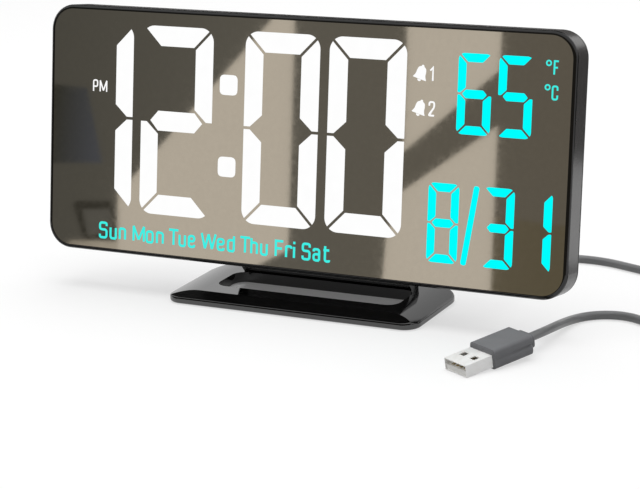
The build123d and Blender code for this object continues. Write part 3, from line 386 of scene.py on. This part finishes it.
def bell(place):
    """Outlines of a small tilted bell: body, knob and clapper."""
    body = softened(BELL_SIDE + [(-x, y) for x, y in reversed(BELL_SIDE)], BELL_SOFT)
    knob = arc((0.0, BELL_KNOB[0]), BELL_KNOB[1], 0, 360, KNOB_STEPS)[:-1]
    clapper = arc((0.0, BELL_CLAPPER[0]), BELL_CLAPPER[1], 180, 360, CLAPPER_STEPS)
    return [[tilted(point, place) for point in outline] for outline in (body, knob, clapper)]


# Finishes

# Noise by scale and detail: clouds in plastic, grain of its mould, marks on metal, and lit segments
CLOUD_NOISE = (70.0, 4.0)
GRAIN_NOISE = (2600.0, 2.0)
MARKS_NOISE = (500.0, 5.0)
LIT_NOISE = (220.0, 2.0)

# Values of the noise at which a drifting colour or number reaches its ends
NOISE_ENDS = (0.3, 0.7)

# Lit segments: drift of the colour and roughness
LIT_SPREAD = 0.015
LIT_ROUGHNESS = 0.6


def new_material(name):
    """A material with nodes, and its shader."""
    made = bpy.data.materials.new(name)
    made.use_nodes = True
    return made, made.node_tree.nodes["Principled BSDF"]


def noise(tree, kind, stretch=(1.0, 1.0, 1.0)):
    """Noise over the object's own coordinates, stretched along an axis where wanted."""
    place = tree.nodes.new("ShaderNodeTexCoord")
    mapping = tree.nodes.new("ShaderNodeMapping")
    mapping.inputs["Scale"].default_value = stretch
    texture = tree.nodes.new("ShaderNodeTexNoise")
    texture.inputs["Scale"].default_value = kind[0]
    texture.inputs["Detail"].default_value = kind[1]
    tree.links.new(place.outputs["Object"], mapping.inputs["Vector"])
    tree.links.new(mapping.outputs["Vector"], texture.inputs["Vector"])
    return texture


def tint(tree, texture, socket, colour, spread):
    """Colour that drifts about its mean with a texture."""
    ramp = tree.nodes.new("ShaderNodeValToRGB")
    for element, place, share in zip(ramp.color_ramp.elements, NOISE_ENDS, (1 - spread, 1 + spread)):
        element.position = place
        element.color = (*[min(part * share, 1.0) for part in colour], 1.0)
    tree.links.new(texture.outputs["Fac"], ramp.inputs["Fac"])
    tree.links.new(ramp.outputs["Color"], socket)


def drift(tree, texture, socket, ends):
    """A number that drifts between two ends with a texture."""
    spread = tree.nodes.new("ShaderNodeMapRange")
    spread.inputs["From Min"].default_value = NOISE_ENDS[0]
    spread.inputs["From Max"].default_value = NOISE_ENDS[1]
    spread.inputs["To Min"].default_value = ends[0]
    spread.inputs["To Max"].default_value = ends[1]
    tree.links.new(texture.outputs["Fac"], spread.inputs["Value"])
    tree.links.new(spread.outputs["Result"], socket)


def relief(tree, texture, shader, depth):
    """Fine relief of the surface, its depth in metres."""
    bump = tree.nodes.new("ShaderNodeBump")
    bump.inputs["Strength"].default_value = 1.0
    bump.inputs["Distance"].default_value = depth
    tree.links.new(texture.outputs["Fac"], bump.inputs["Height"])
    tree.links.new(bump.outputs["Normal"], shader.inputs["Normal"])


def moulded(name, colour, gloss, grain=0.0, spread=0.12, index=1.5):
    """Moulded plastic or rubber: colour and gloss drift a little, and a grain where it has one."""
    made, shader = new_material(name)
    tree = made.node_tree
    cloud = noise(tree, CLOUD_NOISE)
    tint(tree, cloud, shader.inputs["Base Color"], colour, spread)
    drift(tree, cloud, shader.inputs["Roughness"], gloss)
    shader.inputs["IOR"].default_value = index
    if grain:
        relief(tree, noise(tree, GRAIN_NOISE), shader, grain)
    return made


def rim_and_painted_sheen_sides(name, rim, side, rim_gloss, side_gloss, edge, specular):
    """Plastic with a polished black rim at the front of the head and satin sides behind it, whose lighter
    grey is a painted sheen for the light they reflect.
    """
    made, shader = new_material(name)
    tree = made.node_tree
    place = tree.nodes.new("ShaderNodeTexCoord")
    depth = tree.nodes.new("ShaderNodeVectorMath")
    depth.operation = "DOT_PRODUCT"
    depth.inputs[1].default_value = -FACE_OUT
    front = -FACE_OUT.dot(FACE_ORIGIN)
    step = tree.nodes.new("ShaderNodeMapRange")
    step.inputs["From Min"].default_value = front + edge[0] * MM
    step.inputs["From Max"].default_value = front + edge[1] * MM
    cloud = noise(tree, CLOUD_NOISE)
    ramp = tree.nodes.new("ShaderNodeValToRGB")
    for element, colour in zip(ramp.color_ramp.elements, (rim, side)):
        element.color = (*colour, 1.0)
    gloss = tree.nodes.new("ShaderNodeMapRange")
    gloss.inputs["To Min"].default_value = rim_gloss
    tree.links.new(place.outputs["Object"], depth.inputs[0])
    tree.links.new(depth.outputs["Value"], step.inputs["Value"])
    tree.links.new(step.outputs["Result"], ramp.inputs["Fac"])
    tree.links.new(ramp.outputs["Color"], shader.inputs["Base Color"])
    tree.links.new(step.outputs["Result"], gloss.inputs["Value"])
    drift(tree, cloud, gloss.inputs["To Max"], side_gloss)
    tree.links.new(gloss.outputs["Result"], shader.inputs["Roughness"])
    shader.inputs["Specular IOR Level"].default_value = specular
    return made


def metal(name, colour, gloss, stretch=(1.0, 1.0, 1.0), spread=0.05, metallic=1.0):
    """Rolled or plated metal, with fine marks along its rolling where it is stretched."""
    made, shader = new_material(name)
    tree = made.node_tree
    marks = noise(tree, MARKS_NOISE, stretch)
    tint(tree, marks, shader.inputs["Base Color"], colour, spread)
    drift(tree, marks, shader.inputs["Roughness"], gloss)
    shader.inputs["Metallic"].default_value = metallic
    return made


def lit(name, colour):
    """Finish of a lit segment, which shines through the mirror."""
    made, shader = new_material(name)
    tree = made.node_tree
    shader.inputs["Base Color"].default_value = BLACK
    shader.inputs["Specular IOR Level"].default_value = 0.0
    shader.inputs["Roughness"].default_value = LIT_ROUGHNESS
    shader.inputs["Emission Strength"].default_value = 1.0
    tint(tree, noise(tree, LIT_NOISE), shader.inputs["Emission Color"], colour, LIT_SPREAD)
    return made


finishes = {
    "frame_black": rim_and_painted_sheen_sides(
        "frame_black",
        rim=(0.002, 0.002, 0.0019),
        # Lighter grey of the sides: a painted sheen for the light they reflect
        side=(0.062, 0.058, 0.056),
        rim_gloss=0.08,
        side_gloss=(0.22, 0.28),
        edge=(1.2, 1.6),
        specular=0.5,
    ),
    "mirror_panel": metal("mirror_panel", (0.52, 0.5, 0.46), (0.035, 0.06), spread=0.02),
    "mask_black": moulded("mask_black", (0.015, 0.015, 0.015), (0.6, 0.75)),
    "diffuser_white": moulded("diffuser_white", (0.8, 0.8, 0.78), (0.5, 0.6), spread=0.03),
    "reflector_white": moulded("reflector_white", (0.75, 0.75, 0.74), (0.45, 0.6), spread=0.04),
    "board": moulded("board", (0.02, 0.11, 0.05), (0.35, 0.5), spread=0.25),
    "led": moulded("led", (0.75, 0.72, 0.5), (0.3, 0.4)),
    "screw_steel": metal("screw_steel", (0.42, 0.42, 0.43), (0.28, 0.42)),
    "chip_black": moulded("chip_black", (0.02, 0.02, 0.021), (0.5, 0.62), grain=4e-6),
    "can_metal": metal("can_metal", (0.6, 0.6, 0.6), (0.25, 0.35)),
    "snooze_black": moulded("snooze_black", (0.013, 0.013, 0.013), (0.34, 0.42)),
    "cover_black": moulded("cover_black", (0.022, 0.022, 0.022), (0.5, 0.62), grain=1.2e-5),
    "key_black": moulded("key_black", (0.017, 0.017, 0.018), (0.42, 0.52)),
    "cap_black": moulded("cap_black", (0.02, 0.02, 0.02), (0.46, 0.58), grain=8e-6),
    "cell_steel": metal("cell_steel", (0.62, 0.62, 0.61), (0.22, 0.34), stretch=(1.0, 1.0, 6.0)),
    "stand_black": moulded("stand_black", (0.003, 0.003, 0.003), (0.05, 0.08), index=1.85),
    "foot_rubber": moulded("foot_rubber", (0.03, 0.03, 0.03), (0.75, 0.88), grain=1e-5),
    "pin_steel": metal("pin_steel", (0.55, 0.55, 0.56), (0.2, 0.32), stretch=(0.2, 1.0, 1.0)),
    "washer_nylon": moulded("washer_nylon", (0.55, 0.54, 0.5), (0.4, 0.5), spread=0.05),
    "plug_grey": moulded("plug_grey", (0.185, 0.187, 0.196), (0.42, 0.5), grain=3e-6, index=1.33),
    "plug_nickel": metal("plug_nickel", (0.72, 0.71, 0.69), (0.16, 0.26)),
    "cord_grey": moulded("cord_grey", (0.2, 0.202, 0.205), (0.3, 0.38), spread=0.1),
    "tie_black": moulded("tie_black", (0.02, 0.02, 0.02), (0.6, 0.75), grain=2e-5),
    "shell_nickel": metal(
        "shell_nickel",
        (0.98, 0.97, 0.955),
        (0.4, 0.5),
        stretch=(1.0, 0.2, 1.0),
        metallic=0.2,
    ),
    "tongue_white": moulded("tongue_white", (0.95, 0.94, 0.91), (0.4, 0.5), spread=0.03),
    "contact_gold": metal("contact_gold", (0.6, 0.46, 0.24), (0.2, 0.3)),
}
lit_white = lit("lit_white", (1.0, 1.0, 1.0))
lit_cyan = lit("lit_cyan", (0.0, 1.0, 1.0))
lit_teal = lit("lit_teal", (0.05, 0.87, 0.78))

for subpart in frame["record"]["subparts"]:
    shape = frame["nodes"][subpart["node"]]
    shape.data.materials.clear()
    shape.data.materials.append(finishes[subpart["material_slot"]])


# New objects


def linked(name, data):
    """A new object in the scene."""
    made = bpy.data.objects.new(name, data)
    bpy.context.scene.collection.objects.link(made)
    return made


def closed_piece(name, shape, finish):
    """A piece from a closed shape, its faces turned outwards."""
    bmesh.ops.recalc_face_normals(shape, faces=shape.faces[:])
    mesh = bpy.data.meshes.new(name)
    shape.to_mesh(mesh)
    shape.free()
    mesh.materials.append(finish)
    return linked(name, mesh)


# Lit display: thin pads on the front of the mirror


def pads(name, outlines, finish):
    """A piece made of flat pads, each an outline in millimetres on the face."""
    shape = bmesh.new()
    for outline in outlines:
        low, high = [
            [shape.verts.new(on_face(x, y, proud)) for x, y in outline]
            for proud in (0.0, LIT_THICK)
        ]
        shape.faces.new(high)
        shape.faces.new(low[::-1])
        count = len(outline)
        for index in range(count):
            after = (index + 1) % count
            shape.faces.new((low[index], low[after], high[after], high[index]))
    piece = closed_piece(name, shape, finish)
    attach(piece, "clock")
    piece.visible_glossy = False


for place, (figure, left) in enumerate(BIG_DIGITS):
    outlines = digit(figure, left, BIG_LOW, BIG_SIZE, BIG_STROKE, BIG_ROUND, BIG_GAP)
    pads("time_digit_%d" % place, outlines, lit_white)
pads("time_colon", [square(COLON_LEFT, low, COLON_SIZE, COLON_ROUND) for low in COLON_LOW], lit_white)

for place, (figure, left, low, width) in enumerate(SMALL_DIGITS):
    size = (width, SMALL_HEIGHT)
    outlines = digit(figure, left, low, size, SMALL_STROKE, SMALL_ROUND, SMALL_GAP)
    pads("small_digit_%d" % place, [softened(outline, SMALL_SOFT) for outline in outlines], lit_cyan)
pads("date_slash", [softened(ribbon(SLASH_ENDS, SLASH_WIDTH), SLASH_SOFT)], lit_cyan)

for text, left, right in WEEK_DAYS:
    pads("weekday_" + text.lower(), written(text, left, right, *WEEK_LINE), lit_teal)
pads("half_day_mark", written(*HALF_DAY), lit_white)
for number, place in zip(ALARM_NUMBERS, BELLS):
    pads("alarm_mark_" + number[0], bell(place) + written(*number), lit_white)
for letter, centre in DEGREES:
    ring = ribbon(arc(centre, RING_RADIUS, 0, 360, RING_STEPS), RING_STROKE)
    pads("degree_" + letter[0].lower(), [ring] + written(*letter), lit_teal)


# Grip of the USB plug, with the mould's crease along its sides


def on_plug(forward, across, height):
    """A point of the USB plug: forward of its middle, across it and above its underside."""
    tip = GRIP_FRONT + SHELL_OUT
    shell_low = SHELL_AXIS - SHELL_SIZE[1] / 2
    lift = tip * sin(GRIP_NOSE_DOWN) - shell_low * cos(GRIP_NOSE_DOWN)
    out = forward * cos(GRIP_NOSE_DOWN) + height * sin(GRIP_NOSE_DOWN)
    up = lift - forward * sin(GRIP_NOSE_DOWN) + height * cos(GRIP_NOSE_DOWN)
    x = GRIP_CENTRE[0] + out * cos(GRIP_HEADING) - across * sin(GRIP_HEADING)
    y = GRIP_CENTRE[1] + out * sin(GRIP_HEADING) + across * cos(GRIP_HEADING)
    return Vector((x, y, up)) * MM


def section(forward, width, low, high, corner, crease=0.0):
    """Points round one section of the plug, with a crease half way up each side."""
    half = arc((width / 2 - corner, low + corner), corner, -90, 0)
    for step in range(1, CREASE_STEPS):
        share = step / CREASE_STEPS
        dent = crease * exp(-(((share - CREASE_MIDDLE) / CREASE_WIDTH) ** 2))
        half.append((width / 2 - dent, low + corner + (high - low - 2 * corner) * share))
    half += arc((width / 2 - corner, high - corner), corner, 0, 90)
    return [on_plug(forward, x, y) for x, y in half + [(-x, y) for x, y in reversed(half)]]


def grip_sections():
    """Sections of the grip from the bottom of its pocket, round its front edge and back to its neck."""
    length, width, height = GRIP_BODY
    neck_length, neck_width, neck_height = GRIP_NECK
    back = GRIP_FRONT - length
    tail = back - neck_length
    shell_half = SHELL_SIZE[1] / 2
    pocket = (SHELL_SIZE[0], SHELL_AXIS - shell_half, SHELL_AXIS + shell_half, SHELL_CORNER)
    neck_low = SHELL_AXIS - neck_height / 2
    neck_high = SHELL_AXIS + neck_height / 2
    neck = (neck_width, neck_low, neck_high, GRIP_NECK_ROUND)
    bevel = GRIP_END_BEVEL
    end_width = width - 2 * bevel
    end_round = GRIP_ROUND - bevel / 2
    front_high = height - GRIP_TOP_BEVEL
    front_crease, back_crease = CREASE_DEPTHS
    rings = [section(GRIP_FRONT - SHELL_HELD, *pocket), section(GRIP_FRONT, *pocket)]
    rings.append(section(GRIP_FRONT, end_width, bevel, front_high, end_round, front_crease))
    for step in range(GRIP_STATIONS + 1):
        share = step / GRIP_STATIONS
        forward = (GRIP_FRONT - bevel) * (1 - share) + (back + bevel) * share
        crease = front_crease * (1 - share) + back_crease * share
        rings.append(section(forward, width, 0.0, height, GRIP_ROUND, crease))
    rings.append(section(back, end_width, bevel, height - bevel, end_round, back_crease))
    inset = GRIP_NECK_BEVEL
    drawn_in = (neck_width - 2 * inset, neck_low + inset, neck_high - inset, GRIP_NECK_ROUND - inset)
    rings += [section(back, *neck), section(tail + inset, *neck), section(tail, *drawn_in)]
    return rings


def grip():
    """The moulded grip: a pocket for the shell, the creased body and the neck of the cord."""
    shape = bmesh.new()
    loops = [[shape.verts.new(point) for point in ring] for ring in grip_sections()]
    for before, after in zip(loops, loops[1:]):
        for index in range(len(before)):
            shape.faces.new((before[index - 1], before[index], after[index], after[index - 1]))
    shape.faces.new(loops[0])
    shape.faces.new(loops[-1][::-1])
    piece = closed_piece("plug_grip", shape, finishes["plug_grey"])
    piece.data.shade_smooth()
    piece.data.set_sharp_from_angle(angle=GRIP_SHARP)
    return piece


plug_grip = grip()
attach(plug_grip, "clock")
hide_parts("usb_grip")


# Lead: one spline from the power plug through the coil to the USB plug


def coil_points():
    """Points of the coil's turns, clockwise from above, each turn in its own place in the bundle."""
    points = []
    for step in range(1, int(COIL_TURNS * COIL_STEPS) + 1):
        travel = 360.0 * step / COIL_STEPS
        turn = int(travel // 360)
        within = travel - 360 * turn
        # Later turns pass over earlier in their round
        start = COIL_FIRST_SHIFT + COIL_SHIFT_APART * (len(COIL_STRANDS) - 2 - turn)
        share = min(max((within - start) / COIL_SHIFT_LONG, 0.0), 1.0)
        here = Vector(COIL_STRANDS[turn])
        onward = Vector(COIL_STRANDS[min(turn + 1, len(COIL_STRANDS) - 1)])
        radius, rise = here.lerp(onward, share)
        angle = radians(-travel)
        x = COIL_CENTRE[0] + radius * cos(angle)
        y = COIL_CENTRE[1] + radius * sin(angle)
        points.append((x, y, max(COIL_BUNDLE_HEIGHT + rise, CORD_RADIUS)))
    return points


def lead():
    """The cord as a curve with a round section."""
    curve = bpy.data.curves.new("lead", "CURVE")
    curve.dimensions = "3D"
    curve.bevel_depth = CORD_RADIUS * MM
    curve.bevel_resolution = CORD_ROUND_STEPS
    curve.resolution_u = CORD_ALONG_STEPS
    curve.use_fill_caps = True
    spline = curve.splines.new("NURBS")
    points = list(LEAD_ROUTE) + coil_points() + list(TAIL_ROUTE)
    spline.points.add(len(points) - 1)
    for point, place in zip(spline.points, points):
        point.co = (*[value * MM for value in place], 1.0)
    spline.order_u = CORD_ORDER
    spline.use_endpoint_u = True
    curve.materials.append(finishes["cord_grey"])
    return linked("lead", curve)


cord = lead()
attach(cord, "clock")
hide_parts("cord_lead", "cord_coil", "cord_tail")


# Camera


def camera_turn():
    """The camera's turn, with its right, up and backward as columns."""
    level_reach = cos(CAMERA_PITCH)
    forward = Vector(
        (
            -sin(CAMERA_YAW) * level_reach,
            cos(CAMERA_YAW) * level_reach,
            -sin(CAMERA_PITCH),
        )
    )
    level = Vector((cos(CAMERA_YAW), sin(CAMERA_YAW), 0.0))
    above = level.cross(forward)
    right = level * cos(CAMERA_ROLL) + above * sin(CAMERA_ROLL)
    up = above * cos(CAMERA_ROLL) - level * sin(CAMERA_ROLL)
    return Matrix((right, up, -forward)).transposed()


lens = bpy.data.cameras.new("camera")
lens.sensor_width = CAMERA_SENSOR
lens.lens = CAMERA_LENS
lens.clip_start = CAMERA_NEAR
camera = linked("camera", lens)
camera.matrix_world = Matrix.Translation(CAMERA_PLACE) @ camera_turn().to_4x4()
bpy.context.scene.camera = camera


# Studio: pale floor, white surroundings, and soft light

# Floor: half sizes, share of its own glow, colour to the eye, and colour in the light that it throws back
FLOOR_HALF = (2.5, 2.5)
FLOOR_GLOW = 0.6
FLOOR_COLOUR = (0.93, 0.93, 0.93, 1.0)
FLOOR_BOUNCE = (0.45, 0.45, 0.45, 1.0)
FLOOR_ROUGHNESS = 0.9

# Piece of floor under the stand that glows less: a painted shade under the stand
PAINTED_SHADE_HALF = (0.046, 0.015)
PAINTED_SHADE_LIFT = 0.0001
PAINTED_SHADE_GLOW = 0.1

# Surroundings as light on the object
WORLD_LIGHT = 0.38

# Lamps: name, place, aim, side, strength in watts
LAMPS = (
    ("lamp_top", (0.0, 0.2, 1.3), (0.0, 0.0, 0.05), 1.4, 17.5),
    ("lamp_left", (-1.1, -0.7, 0.9), (0.0, 0.0, 0.05), 0.9, 2.0),
)

# Dim wall in front of the mirror, and its colours from the left to the right of the mirror
WALL_Y = -0.25
WALL_HALF = 0.7
WALL_TOP = 0.3
WALL_COLOURS = ((0.122, 0.117, 0.101), (0.186, 0.175, 0.15), (0.188, 0.168, 0.136))
MIRROR_SIDES = (-110.0, 110.0)
MIRROR_MIDDLE = 48.0

# Patches of window light on the wall, by where the mirror shows them
PATCH_COLOUR = (0.82, 0.75, 0.65)
PATCH_OFF = 0.002
LIGHT_PATCHES = (
    ((-10.0, 97.0), (-2.0, 97.0), (-2.0, 8.5), (-19.0, -1.0), (-78.0, -1.0), (-78.0, 23.5)),
    ((44.0, 97.0), (81.0, 97.0), (81.0, 81.5), (44.0, 49.0)),
    ((81.0, 61.5), (81.0, -1.0), (37.5, -1.0), (38.5, 17.0), (44.0, 34.5)),
)

# Plain shapes of the room that the mirror shows: name, left and right colour, and outline on the face
ROOM_SHAPES = (
    (
        "room_lamp_shade",
        (0.051, 0.049, 0.034),
        (0.103, 0.11, 0.131),
        ((-109.5, 64.7), (-93.1, 64.1), (-85.5, 35.1), (-108.9, 33.3)),
    ),
    (
        "room_picture_frame",
        (0.061, 0.057, 0.046),
        (0.061, 0.057, 0.046),
        ((-98.7, 17.7), (-97.4, 19.0), (-80.6, 20.4), (-77.5, 6.8), (-93.3, 3.7)),
    ),
    (
        "room_table_edge",
        (0.25, 0.22, 0.18),
        (0.6, 0.54, 0.45),
        ((-104.0, -1.0), (-99.5, 3.2), (-77.5, 4.6), (-77.5, -1.0)),
    ),
    (
        "room_picture",
        (0.15, 0.145, 0.13),
        (0.15, 0.145, 0.13),
        ((-94.5, 16.0), (-81.5, 17.2), (-79.9, 8.2), (-91.5, 5.5)),
    ),
    (
        "room_low_wall",
        (0.19, 0.164, 0.115),
        (0.17, 0.145, 0.096),
        ((81.0, 28.6), (110.0, 27.6), (110.0, -1.0), (81.0, -1.0)),
    ),
)

# Cards behind the clock, mirrored by its right side, its top and its stand:
# name, left, right, low and high edge, and glow
FLAG_BACK = 0.15
FLAGS = (
    ("flag_side", 0.13, 0.5, 0.022, 0.12, 0.05),
    ("flag_top", -0.45, 0.1, 0.095, 0.4, 0.06),
    ("flag_stand", -0.065, 0.04, 0.02, 0.095, 0.6),
)

# Dark card just above the floor before the clock, mirrored by the lower rim, a painted shade of the floor
# there:
# left, right, near and far edge, height and glow
FRONT_PAINTED_SHADE_FLAG = (-0.45, 0.09, -0.05, -0.0236, 0.006, 0.01)


def seen_share(tree):
    """One for camera, mirror and glass rays, and nothing for light that is thrown back."""
    paths = tree.nodes.new("ShaderNodeLightPath")
    share = paths.outputs["Is Camera Ray"]
    for ray in ("Is Glossy Ray", "Is Transmission Ray"):
        either = tree.nodes.new("ShaderNodeMath")
        either.operation = "MAXIMUM"
        tree.links.new(share, either.inputs[0])
        tree.links.new(paths.outputs[ray], either.inputs[1])
        share = either.outputs["Value"]
    return share


def flat_piece(name, corners):
    """A flat face of the stage through the given corners."""
    mesh = bpy.data.meshes.new(name)
    mesh.from_pydata([tuple(corner) for corner in corners], [], [list(range(len(corners)))])
    piece = linked(name, mesh)
    return piece


def floor(name, half, height, share):
    """Pale floor with a share of glow: takes shadows, and throws less light back than it shows."""
    across, along = half
    near = [(-across, -along, height), (across, -along, height)]
    far = [(across, along, height), (-across, along, height)]
    piece = flat_piece(name, near + far)
    made, shader = new_material(name)
    tree = made.node_tree
    shader.inputs["Base Color"].default_value = FLOOR_COLOUR
    shader.inputs["Roughness"].default_value = FLOOR_ROUGHNESS
    shader.inputs["Specular IOR Level"].default_value = 0.0
    glow = tree.nodes.new("ShaderNodeEmission")
    seen = tree.nodes.new("ShaderNodeMixShader")
    seen.inputs["Fac"].default_value = share
    bounce = tree.nodes.new("ShaderNodeBsdfDiffuse")
    bounce.inputs["Color"].default_value = FLOOR_BOUNCE
    blend = tree.nodes.new("ShaderNodeMixShader")
    tree.links.new(shader.outputs["BSDF"], seen.inputs[1])
    tree.links.new(glow.outputs["Emission"], seen.inputs[2])
    tree.links.new(seen_share(tree), blend.inputs["Fac"])
    tree.links.new(bounce.outputs["BSDF"], blend.inputs[1])
    tree.links.new(seen.outputs["Shader"], blend.inputs[2])
    tree.links.new(blend.outputs["Shader"], tree.nodes["Material Output"].inputs["Surface"])
    piece.data.materials.append(made)


def behind_mirror(point):
    """A point as the mirror shows it."""
    away = (point - on_face(0.0, 0.0)).dot(FACE_OUT)
    return point - FACE_OUT * (2 * away)


def on_wall(across, up, off):
    """The point, off the wall by a little, that the mirror shows at this point of the face."""
    eye = behind_mirror(CAMERA_PLACE)
    seen = on_face(across, up)
    reach = (WALL_Y + off - eye.y) / (seen.y - eye.y)
    return eye + (seen - eye) * reach


def only_in_mirrors(piece, colours, sides=MIRROR_SIDES):
    """A card that only glossy surfaces show, its glow shading across the mirror from colour to colour."""
    made = new_material(piece.name)[0]
    tree = made.node_tree
    place = tree.nodes.new("ShaderNodeTexCoord")
    parts = tree.nodes.new("ShaderNodeSeparateXYZ")
    across = tree.nodes.new("ShaderNodeMapRange")
    for socket, side in zip(("From Min", "From Max"), sides):
        across.inputs[socket].default_value = on_wall(side, MIRROR_MIDDLE, 0.0).x
    ramp = tree.nodes.new("ShaderNodeValToRGB")
    stops = ramp.color_ramp.elements
    last = len(colours) - 1
    for index in range(1, last):
        stops.new(index / last)
    for stop, colour in zip(stops, colours):
        stop.color = (*colour, 1.0)
    glow = tree.nodes.new("ShaderNodeEmission")
    tree.links.new(place.outputs["Object"], parts.inputs["Vector"])
    tree.links.new(parts.outputs["X"], across.inputs["Value"])
    tree.links.new(across.outputs["Result"], ramp.inputs["Fac"])
    tree.links.new(ramp.outputs["Color"], glow.inputs["Color"])
    tree.links.new(glow.outputs["Emission"], tree.nodes["Material Output"].inputs["Surface"])
    piece.data.materials.append(made)
    piece.visible_camera = False
    piece.visible_diffuse = False
    piece.visible_shadow = False
    piece.visible_transmission = False


def wall():
    """Dim wall in front of the mirror, with patches of window light and plain shapes of the room."""
    under = [(-WALL_HALF, WALL_Y, 0.0), (WALL_HALF, WALL_Y, 0.0)]
    over = [(WALL_HALF, WALL_Y, WALL_TOP), (-WALL_HALF, WALL_Y, WALL_TOP)]
    only_in_mirrors(flat_piece("wall", under + over), WALL_COLOURS)
    for index, patch in enumerate(LIGHT_PATCHES):
        corners = [on_wall(across, up, PATCH_OFF) for across, up in patch]
        only_in_mirrors(flat_piece("wall_light_%d" % index, corners), (PATCH_COLOUR, PATCH_COLOUR))
    for index, (name, left, right, outline) in enumerate(ROOM_SHAPES):
        # Each shape lies a little nearer to the mirror than the one before it
        off = PATCH_OFF * (index + 2)
        corners = [on_wall(across, up, off) for across, up in outline]
        sides = [pick(across for across, up in outline) for pick in (min, max)]
        only_in_mirrors(flat_piece(name, corners), (left, right), sides)


def flag(name, corners, glow):
    """A card of even grey glow."""
    grey = (glow, glow, glow)
    only_in_mirrors(flat_piece(name, corners), (grey, grey))


def flags():
    """Cards before and behind the clock, the one before it a painted shade of the floor."""
    left, right, near, far, height, glow = FRONT_PAINTED_SHADE_FLAG
    corners = [(left, near, height), (right, near, height), (right, far, height), (left, far, height)]
    # Painted shade of the floor before the clock, as the lower rim mirrors it
    flag("flag_front_painted_shade", corners, glow)
    for name, left, right, low, high, glow in FLAGS:
        under = [(left, FLAG_BACK, low), (right, FLAG_BACK, low)]
        over = [(right, FLAG_BACK, high), (left, FLAG_BACK, high)]
        flag(name, under + over, glow)


def lamps():
    """Soft square lamps."""
    for name, place, aim, side, watts in LAMPS:
        light = bpy.data.lights.new(name, "AREA")
        light.size = side
        light.energy = watts
        lamp = linked(name, light)
        lamp.location = place
        lamp.rotation_euler = (Vector(aim) - Vector(place)).to_track_quat("-Z", "Y").to_euler()
        lamp.visible_glossy = False


def surroundings():
    """White to the eye and in reflections, softer as light."""
    world = bpy.data.worlds.new("studio")
    world.use_nodes = True
    tree = world.node_tree
    ambient = tree.nodes["Background"]
    ambient.inputs["Color"].default_value = WHITE
    ambient.inputs["Strength"].default_value = WORLD_LIGHT
    white = tree.nodes.new("ShaderNodeBackground")
    white.inputs["Color"].default_value = WHITE
    blend = tree.nodes.new("ShaderNodeMixShader")
    tree.links.new(seen_share(tree), blend.inputs["Fac"])
    tree.links.new(ambient.outputs["Background"], blend.inputs[1])
    tree.links.new(white.outputs["Background"], blend.inputs[2])
    tree.links.new(blend.outputs["Shader"], tree.nodes["World Output"].inputs["Surface"])
    bpy.context.scene.world = world


floor("floor", FLOOR_HALF, 0.0, FLOOR_GLOW)
# Painted shade on the floor under the stand
floor("floor_painted_shade_under_stand", PAINTED_SHADE_HALF, PAINTED_SHADE_LIFT, PAINTED_SHADE_GLOW)
wall()
flags()
lamps()
surroundings()
bpy.context.scene.view_settings.view_transform = "Standard"
